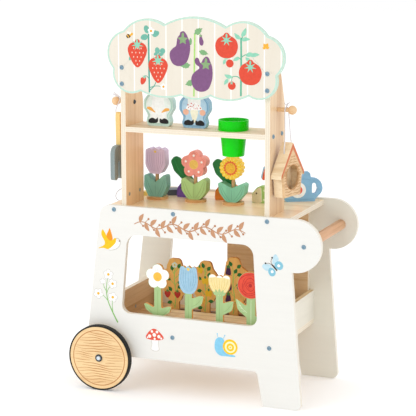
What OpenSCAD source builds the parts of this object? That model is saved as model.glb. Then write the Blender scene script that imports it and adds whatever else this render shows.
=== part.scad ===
// Push-along toy garden stall: plywood cart with two wheels, a fruit sign,
// a planter with slotted racks, and the loose toys that stand and hang on it.
// Millimetres. +Z is up, +X runs from the wheels to the handle, -Y is the front.

/* [Overall] */
// distance from the wheel axle to the end of the handle lobes
body_length = 547; // [456:1:657]
// height of the top of the sign above the floor
overall_height = 900; // [750:1:1080]
// distance over the outer faces of the two side panels
body_depth = 288; // [240:1:346]
// thickness of the plywood
ply = 12; // [10:0.5:15]
// height of the counter surface above the floor
counter_height = 446; // [400:1:535]

/* [Side panels] */
// how far the panel tops stand above the counter
counter_lip = 4; // [2:0.5:8]
// height of the lower edge of the panels
skirt_height = 83; // [70:1:100]
// width of a leg at the floor
leg_foot = 94; // [78:1:113]
// radius of the rounded lobe that holds the handle
lobe_r = 62; // [52:1:70]
// diameter of the handle bar
handle_d = 25; // [21:0.5:30]
// height of the window sill
sill_height = 190; // [165:1:200]
// height of the top of the window
window_top = 382; // [350:1:400]

/* [Wheels] */
// outer diameter of a tyre
wheel_d = 160; // [140:1:190]
// thickness of the rubber on the wheel rim
tyre_t = 3.5; // [2.5:0.5:6]
// width of a tyre
tyre_width = 16; // [15.5:0.5:20]
// thickness of the wooden disc
disc_t = 15; // [12:0.5:18]
// diameter of the steel axle
axle_d = 10; // [8:0.5:12]

/* [Uprights and sign] */
// distance from the axle to the left upright
upright_left = 46; // [38:1:56]
// distance from the right upright to the end of the handle lobes
upright_right = 129.5; // [108:0.5:156]
// depth of an upright, front to back
upright_depth = 100; // [83:1:120]
// height of the upper shelf surface
shelf_height = 637; // [600:1:680]
// thickness of the sign board
sign_t = 10; // [8:0.5:12]
// how far the sign reaches past the uprights at each end
sign_overhang = 35.25; // [25:0.25:50]
// diameter of a hanging peg
peg_d = 10; // [8:0.5:12]
// diameter of the ball on a peg
ball_d = 21; // [17:0.5:25]
// free length of a peg between upright and ball
peg_reach = 26; // [24:0.5:32]

/* [Planter] */
// height of the planter floor surface
floor_height = 148; // [140:1:154]
// height of the planter end boards above the floor
end_board = 71; // [59:1:85]
// height of the front rack above the floor
rack_height = 36; // [30:1:40]
// height of the rear rack above the floor
rear_rack_height = 30; // [25:1:36]
// thickness of the planter flower boards
flower_t = 8; // [6.5:0.5:10]
// clearance of a flower board in its slot, each side
slot_gap = 0.3; // [0.2:0.1:0.6]
// length of the flower racks
rack_length = 310; // [280:1:330]

/* [Counter toys] */
// thickness of the block toys
block_t = 25; // [20:0.5:30]
// diameter of the flower base discs
base_d = 52; // [44:1:56]
// diameter of the flower stems
stem_d = 9; // [7:0.5:12]
// clearance between a stem and its hole, all round
stem_gap = 0.3; // [0.2:0.1:0.5]
// thickness of the beetle blocks
beetle_t = 22; // [18:0.5:26]
// thickness of the watering can board
can_t = 14; // [11:0.5:17]

/* [Shelf toys] */
// diameter of the pot rim
pot_rim_d = 71; // [69:1:85]
// diameter of the pot just under its rim
pot_body_d = 63; // [53:1:66]
// height of the pot
pot_height = 84; // [70:1:100]
// clearance between the pot and its hole, all round
pot_gap = 0.8; // [0.5:0.1:1.5]
// wall of the pot
pot_wall = 2; // [1.5:0.1:3]
// thickness of the seed sack boards
sack_t = 18; // [15:0.5:22]

/* [Hanging toys] */
// width of the birdhouse at the eaves
house_width = 100; // [84:1:104]
// depth of the birdhouse
house_depth = 28; // [24:0.5:28]
// length of the garden fork
fork_length = 160; // [134:1:170]
// diameter of a hanging cord
cord_d = 2.4; // [2:0.1:3]

/* [Hidden] */
$fn = 64;
eps = 1;

// stations along the cart
x_end = body_length;
x_mid = (x_end - wheel_d / 2) / 2;
axle_z = wheel_d / 2;
panel_top = counter_height + counter_lip;
y_out = body_depth / 2;
y_in = y_out - ply;
up_l = upright_left;
up_r = x_end - upright_right - ply;
lobe_x = x_end - lobe_r;
lobe_z = panel_top - lobe_r;
handle_x = lobe_x + 20;
foot_r = x_end - 44;
foot_l = foot_r - leg_foot;
win_l = 48;
win_r = x_end - 153;
counter_l = 8;
counter_r = x_end - 86;
trough_l = 0;
trough_r = x_end - 108;

// screws
head_d = 11;
head_h = 2.6;
shank_d = 6;
socket_d = 5;
bolt_in = 24;
nut_d = 9;
nut_l = 9;
nut_z = 28;
nut_y = [19, 78];
peg_screw_in = 12;

// wheels
hub_gap = 12;
bush_d = 22;
washer_d = 18;
washer_t = 2;
running = 0.05;
disc_r = wheel_d / 2 - tyre_t;
wheel_y = y_out + hub_gap + tyre_width / 2;
axle_end = wheel_y + disc_t / 2 + 0.3;

// uprights and sign
up_top = overall_height - 110;
up_front = -y_in;
up_back = up_front + upright_depth;
up_mid = (up_front + up_back) / 2;
peg_z = shelf_height + 53;
sign_y = up_front - sign_t;
sign_x = (up_l + up_r + ply) / 2 + 6;
sign_length = up_r + ply - up_l + 2 * sign_overhang;
shelf_z = shelf_height - ply;
sign_bolts = [overall_height - 123, overall_height - 161];

// planter racks
rack_top = floor_height + rack_height;
rear_top = floor_height + rear_rack_height;
rack_base = 12;
slot_w = flower_t + 2 * slot_gap;
slot_y = -y_in + 14;
tree_y = -20;
rack_r = trough_r - ply;
rack_l = rack_r - rack_length;
rack_front = -y_in + 0.5;
plank_front = slot_y + 23;
plank_back = plank_front + 48;
rib_t = 3;
plant_z = floor_height + rack_base;
tree_z = floor_height + 10;

// counter toys
row_y = up_back + 30;
row_l = up_l + ply;
row_r = up_r;
row_w = row_r - row_l;
base_t = 6;
leaf_z = counter_height + base_t;
stem_in = 16;
row_x = [row_l + 0.065 * row_w, row_l + 0.355 * row_w, row_l + 0.635 * row_w];
beetle_y = up_back + 64;
beetle_x = [row_l + 60, row_l + 160, row_r - 92];
can_x = up_r - 21;
can_y = y_in - 65;
can_turn = 30;
spade_x = row_l - 24;
spade_y = up_back + 55;
spade_turn = 32;

// shelf toys
pot_x = up_r - 96;
pot_tip_d = 51;
pot_lip = 24;
sack_x = [row_l + 66, row_l + 157];
sack_y = up_front + 41 + sack_t / 2;

// hanging toys
house_turn = -12;
house_x = up_r + ply + peg_reach - 0.5;
house_drop = 74;
fork_x = up_l - peg_reach - 2;
cord_r = cord_d / 2;
loop_r = peg_d / 2 + cord_r + 0.3;

// ---------- outline helpers ----------

function unit(v) = v / norm(v);

// arc that rounds the corner p1 between its neighbours
function corner(p0, p1, p2, r, n) =
    let(a = unit(p0 - p1))
    let(b = unit(p2 - p1))
    let(half = acos(max(-1, min(1, a * b))) / 2)
    let(c = p1 + unit(a + b) * (r / sin(half)))
    let(s = p1 + a * (r / tan(half)) - c)
    let(e = p1 + b * (r / tan(half)) - c)
    let(a0 = atan2(s[1], s[0]))
    let(turn = (atan2(e[1], e[0]) - a0 + 540) % 360 - 180)
    [for (i = [0:n]) c + r * [cos(a0 + turn * i / n), sin(a0 + turn * i / n)]];

function xy(p) = [p[0], p[1]];

// rows are [x, z, corner radius]; a zero radius keeps the corner sharp
function rounded(p, n = 6) = [
    for (i = [0:len(p) - 1])
        let(k = len(p))
        each (p[i][2] <= 0 ? [xy(p[i])]
            : corner(xy(p[(i + k - 1) % k]), xy(p[i]), xy(p[(i + 1) % k]), p[i][2], n))
];

// arc from p to q that bulges to the left by h; the last point is left out
function bulge(p, q, h, n) =
    let(c = norm(q - p))
    let(r = (c * c / 4 + h * h) / (2 * h))
    let(d = unit(q - p))
    let(side = [-d[1], d[0]])
    let(m = (p + q) / 2 + side * (h - r))
    let(a0 = atan2(p[1] - m[1], p[0] - m[0]))
    let(turn = (atan2(q[1] - m[1], q[0] - m[0]) - a0 - 720) % 360)
    [for (i = [0:n - 1]) m + r * [cos(a0 + turn * i / n), sin(a0 + turn * i / n)]];

// rows are [x, z, bulge of the edge that follows]
function lobed(p, n = 10) = [
    for (i = [0:len(p) - 1])
        let(k = len(p))
        each bulge(xy(p[i]), xy(p[(i + 1) % k]), p[i][2], n)
];

function mirrored(p) = concat(p, [for (i = [len(p) - 1:-1:0]) [-p[i][0], p[i][1], p[i][2]]]);

// flower outline with equal petals, the first one pointing up
function petals(count, r, tip) =
    let(inner = r - tip)
    lobed([for (i = [0:count - 1])
        let(a = 90 + 180 / count - i * 360 / count)
        [inner * cos(a), inner * sin(a), r - inner * cos(180 / count)]], 8);

// ---------- placing helpers ----------

// the finished part is centred over its own outline
module placed() {
    translate([-x_mid, 0, 0]) children();
}

// board drawn in X-Z, its front face at y, its thickness running back
module board(y, t) {
    translate([0, y + t, 0]) rotate([90, 0, 0]) linear_extrude(height = t) children();
}

// board drawn in Y-Z, its left face at x
module side_board(x, t) {
    translate([x, 0, 0]) rotate([90, 0, 90]) linear_extrude(height = t) children();
}

module rod_y(x, y0, y1, z, d) {
    translate([x, y0, z]) rotate([-90, 0, 0]) cylinder(h = y1 - y0, d = d);
}

module rod_x(x0, x1, y, z, d) {
    translate([x0, y, z]) rotate([0, 90, 0]) cylinder(h = x1 - x0, d = d);
}

// round tube swept along a list of points
function tangent(p, i) =
    unit(p[min(i + 1, len(p) - 1)] - p[max(i - 1, 0)]);

function ring(p, i, r, sides, ref) =
    let(t = tangent(p, i))
    let(u = unit(cross(t, ref)))
    let(v = cross(t, u))
    [for (k = [0:sides - 1]) p[i] + r * (u * cos(360 * k / sides) + v * sin(360 * k / sides))];

module tube(p, r, ref, sides = 8) {
    n = len(p);
    pts = [for (i = [0:n - 1]) each ring(p, i, r, sides, ref)];
    walls = [for (i = [0:n - 2], k = [0:sides - 1])
        let(k2 = (k + 1) % sides)
        each [[i * sides + k, i * sides + k2, (i + 1) * sides + k2],
            [i * sides + k, (i + 1) * sides + k2, (i + 1) * sides + k]]];
    start = [for (k = [1:sides - 2]) [0, k + 1, k]];
    last = (n - 1) * sides;
    finish = [for (k = [1:sides - 2]) [last, last + k, last + k + 1]];
    polyhedron(points = pts, faces = concat(walls, start, finish));
}

// ---------- screws ----------

// every furniture screw: [position, direction (axis and sign), length]
panel_screw_x = [counter_l + 23, counter_l + 175, counter_r - 45];
floor_screw_x = [trough_l + 26, trough_l + 180, trough_r - 15.5];
floor_z = floor_height - ply / 2;
counter_z = counter_height - ply / 2;
shelf_screw_y = [up_front + 21, up_back - 21];

// shape of one screw along +Y, its head under y = 0
module screw(length) {
    difference() {
        rotate([90, 0, 0]) cylinder(h = head_h, d1 = head_d, d2 = head_d - 3);
        translate([0, -head_h + 1.2, 0]) rotate([90, 0, 0]) cylinder(h = head_h, d = socket_d, $fn = 6);
    }
    rotate([-90, 0, 0]) cylinder(h = length, d = shank_d);
}

module screw_bore(length) {
    translate([0, -eps, 0]) rotate([-90, 0, 0]) cylinder(h = length + eps, d = shank_d);
}

module at_panel_screws() {
    for (side = [0, 180]) {
        rotate([0, 0, side]) {
            for (i = [0:2]) {
                x = side == 0 ? panel_screw_x[i] : -panel_screw_x[i];
                translate([x, -y_out, counter_z]) children();
            }
        }
    }
}

module at_floor_screws() {
    for (side = [0, 180]) {
        rotate([0, 0, side]) {
            for (i = [0:2]) {
                x = side == 0 ? floor_screw_x[i] : -floor_screw_x[i];
                translate([x, -y_out, floor_z]) children();
            }
        }
    }
}

module at_handle_screws() {
    translate([handle_x, -y_out, lobe_z]) children();
    translate([handle_x, y_out, lobe_z]) rotate([0, 0, 180]) children();
}

module at_sign_screws() {
    for (x = [up_l, up_r] + [1, 1] * (ply / 2 + 2), z = sign_bolts) {
        translate([x, sign_y, z]) children();
    }
}

module at_shelf_screws() {
    for (y = shelf_screw_y) {
        translate([up_l, y, shelf_height - ply / 2]) rotate([0, 0, -90]) children();
        translate([up_r + ply, y, shelf_height - ply / 2]) rotate([0, 0, 90]) children();
    }
}

module at_peg_screws() {
    translate([up_l + ply, up_mid, peg_z]) rotate([0, 0, 90]) children();
    translate([up_r, up_mid, peg_z]) rotate([0, 0, -90]) children();
}

module furniture_screws() {
    color("#8FA3B5") placed() {
        at_panel_screws() screw(ply + bolt_in);
        at_floor_screws() screw(ply + bolt_in);
        at_handle_screws() screw(ply + bolt_in);
        at_sign_screws() screw(sign_t + bolt_in);
        at_shelf_screws() screw(ply + bolt_in);
        at_peg_screws() screw(ply + peg_screw_in);
    }
}

// cross dowel nuts in the uprights and in the planter ends
module at_upright_nuts(x, dir) {
    for (dy = nut_y) {
        translate([x, up_front + dy, counter_height + nut_z]) rotate([0, dir * 90, 0]) children();
    }
}

module at_trough_nuts(x, dir) {
    for (y = [-75, 15]) {
        translate([x, y, floor_height + 17]) rotate([0, dir * 90, 0]) children();
    }
}

module nut(extra = 0) {
    translate([0, 0, -extra]) cylinder(h = nut_l + extra, d = nut_d);
}

module barrel_nuts() {
    color("#6F7A86") placed() {
        at_upright_nuts(up_l + ply, -1) nut();
        at_upright_nuts(up_r, 1) nut();
        at_trough_nuts(trough_l + ply, -1) nut();
        at_trough_nuts(trough_r - ply, 1) nut();
    }
}

// ---------- frame ----------

module panel_outline() {
    arc_from = -98;
    lobe = [for (i = [0:24])
        [lobe_x + lobe_r * cos(arc_from + (90 - arc_from) * i / 24),
            lobe_z + lobe_r * sin(arc_from + (90 - arc_from) * i / 24), 0]];
    difference() {
        polygon(rounded(concat([
            [-4, panel_top, 26],
            [-52, 46, 22],
            [52, 46, 22],
            [62, skirt_height, 10],
            [foot_l - 16, skirt_height, 10],
            [foot_l, 0, 3],
            [foot_r, 0, 14]], lobe)));
        polygon(rounded([
            [win_l + 17, window_top, 27],
            [win_l, sill_height, 20],
            [win_r, sill_height, 20],
            [win_r - 12, window_top, 27]]));
    }
}

module side_panel() {
    difference() {
        board(-y_out, ply) panel_outline();
        rod_y(0, -y_out - eps, -y_in + eps, axle_z, axle_d);
        at_panel_screws() screw_bore(ply + eps);
        at_floor_screws() screw_bore(ply + eps);
        at_handle_screws() screw_bore(ply + eps);
    }
}

module front_panel() {
    color("#F4F3EE") placed() side_panel();
}

module rear_panel() {
    color("#F1EFE9") placed() mirror([0, 1, 0]) side_panel();
}

module counter_top() {
    color("#E3C39C") placed() difference() {
        translate([counter_l, -y_in, counter_height - ply])
            cube([counter_r - counter_l, 2 * y_in, ply]);
        at_panel_screws() screw_bore(ply + bolt_in);
    }
}

module upright_outline() {
    polygon(rounded([
        [up_front, counter_height, 0],
        [up_back, counter_height, 0],
        [up_back, overall_height - 206, 90],
        [up_back - 36, up_top, 12],
        [up_front, up_top, 0]], 10));
}

module upright(x) {
    difference() {
        side_board(x, ply) upright_outline();
        at_sign_screws() screw_bore(sign_t + bolt_in);
        at_shelf_screws() screw_bore(ply + eps);
        at_peg_screws() screw_bore(ply + eps);
        at_upright_nuts(up_l + ply, -1) nut(eps);
        at_upright_nuts(up_r, 1) nut(eps);
    }
}

module left_upright() {
    color("#D9AE82") placed() upright(up_l);
}

module right_upright() {
    color("#D9AE82") placed() upright(up_r);
}

module upper_shelf() {
    color("#E3C39C") placed() difference() {
        translate([row_l, up_front, shelf_z]) cube([row_w, upright_depth, ply]);
        translate([pot_x, up_mid, shelf_z - eps])
            cylinder(h = ply + 2 * eps, d = pot_body_d + 2 * pot_gap);
        at_shelf_screws() screw_bore(ply + bolt_in);
    }
}

// sign outline: corner between two lobes as a share of the length,
// distance below the top, and bulge of the lobe that follows
cloud = [
    [-0.404, 37, 20], [-0.173, 20, 20.5], [0.170, 21, 22], [0.398, 38, 29],
    [0.450, 127, 29], [0.297, 176, 11], [0.086, 180, 9], [-0.078, 182, 10],
    [-0.308, 176, 28], [-0.466, 126, 27]];

module sign_board() {
    color("#F3EAD8") placed() difference() {
        board(sign_y, sign_t)
            polygon(lobed([for (c = cloud)
                [sign_x + c[0] * sign_length, overall_height - c[1], c[2]]]));
        at_sign_screws() screw_bore(sign_t + eps);
    }
}

module hanging_pegs() {
    ball_l = up_l - peg_reach - ball_d / 2 + 1;
    ball_r = up_r + ply + peg_reach + ball_d / 2 - 1;
    color("#D9AE82") placed() {
        difference() {
            union() {
                rod_x(ball_l, up_l, up_mid, peg_z, peg_d);
                translate([ball_l, up_mid, peg_z]) rotate([0, 0, 180]) sphere(d = ball_d);
            }
            at_peg_screws() screw_bore(ply + peg_screw_in);
        }
        difference() {
            union() {
                rod_x(up_r + ply, ball_r, up_mid, peg_z, peg_d);
                translate([ball_r, up_mid, peg_z]) sphere(d = ball_d);
            }
            at_peg_screws() screw_bore(ply + peg_screw_in);
        }
    }
}

module handle_bar() {
    color("#D08A5A") placed() difference() {
        rod_y(handle_x, -y_in, y_in, lobe_z, handle_d);
        at_handle_screws() screw_bore(ply + bolt_in);
    }
}

// ---------- planter ----------

module planter_floor() {
    color("#D9B48A") placed() difference() {
        translate([trough_l, -y_in, floor_height - ply])
            cube([trough_r - trough_l, 2 * y_in, ply]);
        at_floor_screws() screw_bore(ply + bolt_in);
    }
}

module end_blank(x) {
    difference() {
        translate([x, -y_in, floor_height]) cube([ply, 2 * y_in, end_board]);
        at_trough_nuts(trough_l + ply, -1) nut(eps);
        at_trough_nuts(trough_r - ply, 1) nut(eps);
    }
}

module planter_end_left() {
    color("#D9B48A") placed() end_blank(trough_l);
}

module planter_end_right() {
    color("#E6D3B4") placed() end_blank(trough_r - ply);
}

// base plate with raised strips; the flower boards drop between the strips
module flower_rack() {
    color("#E0BE93") placed() {
        translate([rack_l, 0, floor_height]) rotate([90, 0, 90])
            linear_extrude(height = rack_length) polygon([
                [rack_front, 0],
                [plank_back, 0],
                [plank_back, rack_height],
                [plank_front, rack_height],
                [plank_front, rack_height - 5],
                [plank_front - rib_t, rack_height - 5],
                [plank_front - rib_t, rack_height],
                [slot_y + slot_w / 2, rack_height],
                [slot_y + slot_w / 2, rack_base],
                [slot_y - slot_w / 2, rack_base],
                [slot_y - slot_w / 2, rack_height],
                [rack_front, rack_height]]);
    }
}

module tree_rack() {
    strip = 10;
    color("#6B4A30") placed() {
        translate([rack_l, 0, floor_height]) rotate([90, 0, 90])
            linear_extrude(height = rack_length) polygon([
                [tree_y - slot_w / 2 - strip, 0],
                [tree_y + slot_w / 2 + strip, 0],
                [tree_y + slot_w / 2 + strip, rear_rack_height],
                [tree_y + slot_w / 2, rear_rack_height],
                [tree_y + slot_w / 2, tree_z - floor_height],
                [tree_y - slot_w / 2, tree_z - floor_height],
                [tree_y - slot_w / 2, rear_rack_height],
                [tree_y - slot_w / 2 - strip, rear_rack_height]]);
    }
}

module rear_backboard() {
    left = trough_r - 224;
    color("#C39A6C") placed()
        translate([left, y_in - ply, floor_height])
            cube([trough_r - ply - left, ply, counter_height - ply - floor_height]);
}

// ---------- wheels ----------

module axle_rod() {
    color("#B9BEC4") placed() difference() {
        rod_y(0, -axle_end, axle_end, axle_z, axle_d);
        rod_y(0, -axle_end - eps, -axle_end + bolt_in, axle_z, shank_d);
        rod_y(0, axle_end - bolt_in, axle_end + eps, axle_z, shank_d);
    }
}

module ring_y(y0, y1, outer, inner) {
    difference() {
        rod_y(0, y0, y1, axle_z, outer);
        rod_y(0, y0 - eps, y1 + eps, axle_z, inner);
    }
}

module axle_bushes() {
    disc_back = wheel_y - disc_t / 2;
    color("#9AA0A6") placed() {
        ring_y(-disc_back + 0.3, -y_out, bush_d, axle_d);
        ring_y(y_out, disc_back - 0.3, bush_d, axle_d);
    }
}

module axle_washers() {
    color("#C9CCD0") placed() {
        ring_y(-axle_end - washer_t, -axle_end, washer_d, shank_d);
        ring_y(axle_end, axle_end + washer_t, washer_d, shank_d);
    }
}

module axle_screws() {
    color("#4A4E54") placed() {
        translate([0, -axle_end - washer_t, axle_z]) screw(washer_t + bolt_in);
        translate([0, axle_end + washer_t, axle_z]) rotate([0, 0, 180]) screw(washer_t + bolt_in);
    }
}

module wheel_disc(y) {
    ring_y(y - disc_t / 2, y + disc_t / 2, 2 * disc_r, axle_d + 2 * running);
}

module tyre(y) {
    edge = 1;
    translate([0, y, axle_z]) rotate([90, 0, 0]) rotate_extrude($fn = 96)
        polygon([
            [disc_r, -tyre_width / 2 + edge],
            [disc_r + edge, -tyre_width / 2],
            [wheel_d / 2 - edge, -tyre_width / 2],
            [wheel_d / 2, -tyre_width / 2 + edge],
            [wheel_d / 2, tyre_width / 2 - edge],
            [wheel_d / 2 - edge, tyre_width / 2],
            [disc_r + edge, tyre_width / 2],
            [disc_r, tyre_width / 2 - edge]]);
}

module front_wheel() {
    color("#D8A86A") placed() wheel_disc(-wheel_y);
}

module front_tyre() {
    color("#1E1E20") placed() tyre(-wheel_y);
}

module rear_wheel() {
    color("#D8A86A") placed() wheel_disc(wheel_y);
}

module rear_tyre() {
    color("#1E1E20") placed() tyre(wheel_y);
}

// ---------- flowers on the counter ----------

stem_foot = leaf_z + 14;

// bloom outline and its stem; z is the lowest point of the outline
module bloom(i, z, lift) {
    difference() {
        translate([row_x[i], 0, z]) board(row_y - block_t / 2, block_t) children();
        translate([row_x[i], row_y, z - eps]) cylinder(h = stem_in + lift + eps, d = stem_d);
    }
    translate([row_x[i], row_y, stem_foot])
        cylinder(h = z + stem_in + lift - stem_foot, d = stem_d);
}

module leaf_block(i) {
    difference() {
        translate([row_x[i], 0, leaf_z]) board(row_y - block_t / 2, block_t) children();
        translate([row_x[i], row_y, stem_foot])
            cylinder(h = 100, d = stem_d + 2 * stem_gap);
    }
}

module base_disc(i) {
    translate([row_x[i], row_y, counter_height]) cylinder(h = base_t, d = base_d);
}

// paddle leaf glued to the back of a leaf block
module back_leaf(i, shift) {
    translate([row_x[i] + shift, 0, leaf_z]) board(row_y + block_t / 2, 6)
        polygon(rounded([
            [-20, 26, 4], [-40, 42, 6], [-62, 62, 16], [-71, 86, 9], [-60, 99, 9],
            [-46, 94, 9], [-38, 76, 16], [-12, 44, 6], [-10, 26, 3]]));
}

module tulip_bloom() {
    color("#C4AFC6") placed() bloom(0, leaf_z + 56, 0) {
        polygon(rounded([
            [-14, 0, 10], [-26, 20, 22], [-25, 58, 5], [-15, 63, 4], [-9, 59, 1.5],
            [0, 64, 4], [9, 59, 1.5], [15, 63, 4], [25, 58, 5], [26, 20, 22], [14, 0, 10]]));
    }
}

module tulip_leaves() {
    color("#7FAE9F") placed() leaf_block(0) {
        polygon(rounded([
            [-18, 0, 3], [-30, 24, 14], [-29, 52, 5], [-22, 54, 3], [0, 35, 1.5],
            [22, 54, 3], [29, 52, 5], [30, 24, 14], [18, 0, 3]]));
    }
}

module tulip_base() {
    color("#DDA46C") placed() base_disc(0);
}

module pink_bloom() {
    color("#E58F82") placed() bloom(1, leaf_z + 52, 4) {
        translate([0, 33]) polygon(petals(5, 33, 9));
    }
}

module pink_leaves() {
    color("#AFC98C") placed() leaf_block(1) {
        polygon(rounded([
            [-16, 0, 14], [-32, 22, 14], [-33, 48, 6], [-24, 52, 5], [0, 36, 1.5],
            [24, 52, 5], [33, 48, 6], [32, 22, 14], [16, 0, 14]]));
    }
}

module pink_back_leaf() {
    color("#0B6B2D") placed() back_leaf(1, 0);
}

module pink_base() {
    color("#DDA46C") placed() base_disc(1);
}

module sun_bloom() {
    color("#F0C04A") placed() bloom(2, leaf_z + 54, 2) {
        translate([-3, 28]) polygon(petals(16, 28, 3));
    }
}

module sun_leaves() {
    color("#86C4A2") placed() leaf_block(2) {
        polygon(rounded([
            [-14, 0, 14], [-32, 22, 16], [-35, 44, 4], [-28, 47, 4], [0, 34, 1.5],
            [28, 47, 4], [35, 44, 4], [32, 22, 16], [14, 0, 14]]));
    }
}

module sun_back_leaf() {
    color("#0B6B2D") placed() back_leaf(2, 11);
}

module sun_base() {
    color("#DDA46C") placed() base_disc(2);
}

// ---------- planter flowers and trees ----------

plant_x = [rack_l + 16, rack_l + 95, rack_l + 174, rack_l + 252];
tree_x = [rack_l + 18, rack_l + 98, rack_l + 171];
plant_stem = 9;

module plant(i) {
    translate([plant_x[i], 0, plant_z]) board(slot_y - flower_t / 2, flower_t) children();
}

module tree(i) {
    translate([tree_x[i], 0, tree_z]) board(tree_y - flower_t / 2, flower_t) children();
}

module daisy_board() {
    color("#B9CF97") placed() plant(0) union() {
        translate([0, 121]) polygon(petals(5, 31, 8));
        polygon(rounded([
            [-plant_stem, 0, 0], [-plant_stem, 26, 4], [-30, 38, 8], [-37, 55, 3],
            [-25, 52, 12], [-plant_stem, 44, 3], [-plant_stem, 100, 0],
            [plant_stem, 100, 0], [plant_stem, 44, 3], [25, 50, 12], [36, 52, 3],
            [30, 36, 8], [plant_stem, 24, 4], [plant_stem, 0, 0]]));
    }
}

module blue_tulip_board() {
    color("#A9D0EA") placed() plant(1)
        polygon(rounded([
            [-plant_stem, 0, 0], [-plant_stem, 88, 3], [-17, 93, 12], [-25, 115, 30],
            [-21, 150, 4], [-12, 153, 3], [-7, 149, 1.5], [0, 155, 3], [7, 149, 1.5],
            [12, 153, 3], [21, 150, 4], [25, 115, 30], [17, 93, 12], [plant_stem, 88, 3],
            [plant_stem, 76, 2], [28, 84, 8], [39, 84, 2], [34, 62, 14],
            [plant_stem, 50, 4], [plant_stem, 0, 0]]));
}

module yellow_tulip_board() {
    color("#F1DFA0") placed() plant(2)
        polygon(rounded([
            [-plant_stem, 0, 0], [-plant_stem, 90, 3], [-22, 104, 14], [-28, 126, 10],
            [-26, 138, 5], [-13, 140, 6], [-8, 134, 1.5], [0, 139, 5], [8, 134, 1.5],
            [13, 140, 6], [26, 138, 5], [28, 126, 10], [22, 104, 14], [plant_stem, 90, 3],
            [plant_stem, 72, 2], [26, 78, 8], [36, 79, 2], [32, 56, 14],
            [plant_stem, 44, 4], [plant_stem, 0, 0]]));
}

module rose_board() {
    head = [for (a = [254:-8:-66]) [-1 + 32 * cos(a), 121 + 32 * sin(a), 0]];
    color("#E2493B") placed() plant(3)
        polygon(rounded(concat([
            [-10, 0, 0], [-10, 44, 4], [-32, 60, 16], [-38, 88, 2], [-28, 82, 8],
            [-10, 70, 3]], head, [
            [12, 50, 3], [18, 46, 4], [18, 20, 4], [12, 16, 3], [12, 0, 0]])));
}

// the fruit trees share a trunk and differ in their crowns
module berry_tree() {
    color("#C98A4B") placed() tree(0)
        polygon(rounded([
            [-11, 0, 0], [-11, 40, 2], [-18, 46, 3], [-20, 56, 4], [-30, 64, 8],
            [-33, 86, 10], [-24, 104, 10], [-20, 130, 10], [-12, 147, 9], [14, 147, 10],
            [20, 130, 10], [24, 104, 8], [32, 90, 10], [31, 64, 8], [20, 56, 4],
            [17, 46, 3], [11, 40, 2], [11, 0, 0]]));
}

module pepper_tree() {
    color("#CE9150") placed() tree(1)
        polygon(rounded([
            [-11, 0, 0], [-11, 42, 2], [-20, 50, 4], [-29, 68, 8], [-31, 90, 9],
            [-22, 106, 8], [-18, 134, 10], [-10, 147, 9], [14, 147, 10], [20, 128, 10],
            [34, 110, 9], [33, 72, 9], [22, 50, 5], [11, 42, 2], [11, 0, 0]]));
}

module aubergine_tree() {
    color("#CB8E4C") placed() tree(2)
        polygon(rounded([
            [-11, 0, 0], [-11, 42, 2], [-20, 52, 4], [-31, 72, 8], [-32, 100, 9],
            [-24, 120, 8], [-19, 150, 10], [-10, 162, 9], [12, 162, 10], [20, 140, 12],
            [38, 128, 8], [36, 72, 9], [22, 50, 5], [11, 42, 2], [11, 0, 0]]));
}

// ---------- toys on the shelf and the counter ----------

module green_pot() {
    top = shelf_height + pot_lip;
    low = top - pot_height;
    color("#37B34A") placed() translate([pot_x, up_mid, 0]) rotate_extrude($fn = 96)
        polygon([
            [0, low],
            [pot_tip_d / 2, low],
            [pot_body_d / 2, shelf_height],
            [pot_rim_d / 2, shelf_height],
            [pot_rim_d / 2, top],
            [pot_rim_d / 2 - pot_wall, top],
            [pot_body_d / 2 - pot_wall, shelf_height + pot_wall],
            [pot_tip_d / 2 - pot_wall, low + pot_wall],
            [0, low + pot_wall]]);
}

module sack(i) {
    translate([sack_x[i], 0, shelf_height]) board(sack_y - sack_t / 2, sack_t)
        polygon(rounded([
            [-27, 0, 5], [-31, 12, 7], [-27, 25, 9], [-38, 42, 12], [-37, 62, 14],
            [-22, 78, 6], [-27, 92, 8], [0, 97, 30], [27, 92, 8], [22, 78, 6],
            [37, 62, 14], [38, 42, 12], [27, 25, 9], [31, 12, 7], [27, 0, 5]]));
}

module mint_sack() {
    color("#D6E8E0") placed() sack(0);
}

module blue_sack() {
    color("#9CC3DE") placed() sack(1);
}

// one flat board: body, spout with rose, knob and handle
module watering_can() {
    color("#7FB0DA") placed()
        translate([can_x, can_y, counter_height]) rotate([0, 0, can_turn]) board(0, can_t)
            difference() {
                polygon(rounded([
                    [0, 0, 6], [-2, 26, 6], [-44, 62, 3], [-50, 54, 3], [-57, 58, 3],
                    [-50, 86, 3], [-43, 83, 3], [-40, 72, 3], [0, 48, 8], [24, 56, 10],
                    [42, 58, 4], [46, 72, 6], [60, 72, 6], [63, 58, 5], [86, 54, 20],
                    [94, 26, 20], [74, 6, 8], [74, 0, 3]]));
                polygon(rounded([[66, 18, 4], [66, 46, 4], [76, 44, 8], [80, 30, 10], [76, 19, 5]]));
            }
}

module beetle(i) {
    translate([beetle_x[i], 0, counter_height]) board(beetle_y, beetle_t)
        polygon(rounded([
            [0, 0, 2], [0, 22, 16], [14, 40, 18], [38, 42, 20], [58, 30, 18], [62, 0, 2]]));
}

module purple_beetle() {
    color("#6F4A9E") placed() beetle(0);
}

module orange_beetle() {
    color("#E8742C") placed() beetle(1);
}

module green_beetle() {
    color("#A7C66B") placed() beetle(2);
}

// ---------- birdhouse on the right peg ----------

// its own frame: origin at the peg, front face towards +X
module house_frame() {
    translate([house_x, up_mid, peg_z]) rotate([0, 0, house_turn]) children();
}

house_front_t = 6;
house_z = -house_drop - 124;
house_foot = 34;
eave_drop = 71;
eave_t = 9;
ridge_t = 14;

// underside of the roof at a distance from the ridge
function roof_under(w) =
    -house_drop - ridge_t - (eave_drop + eave_t - ridge_t) * w / (house_width / 2);

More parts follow.
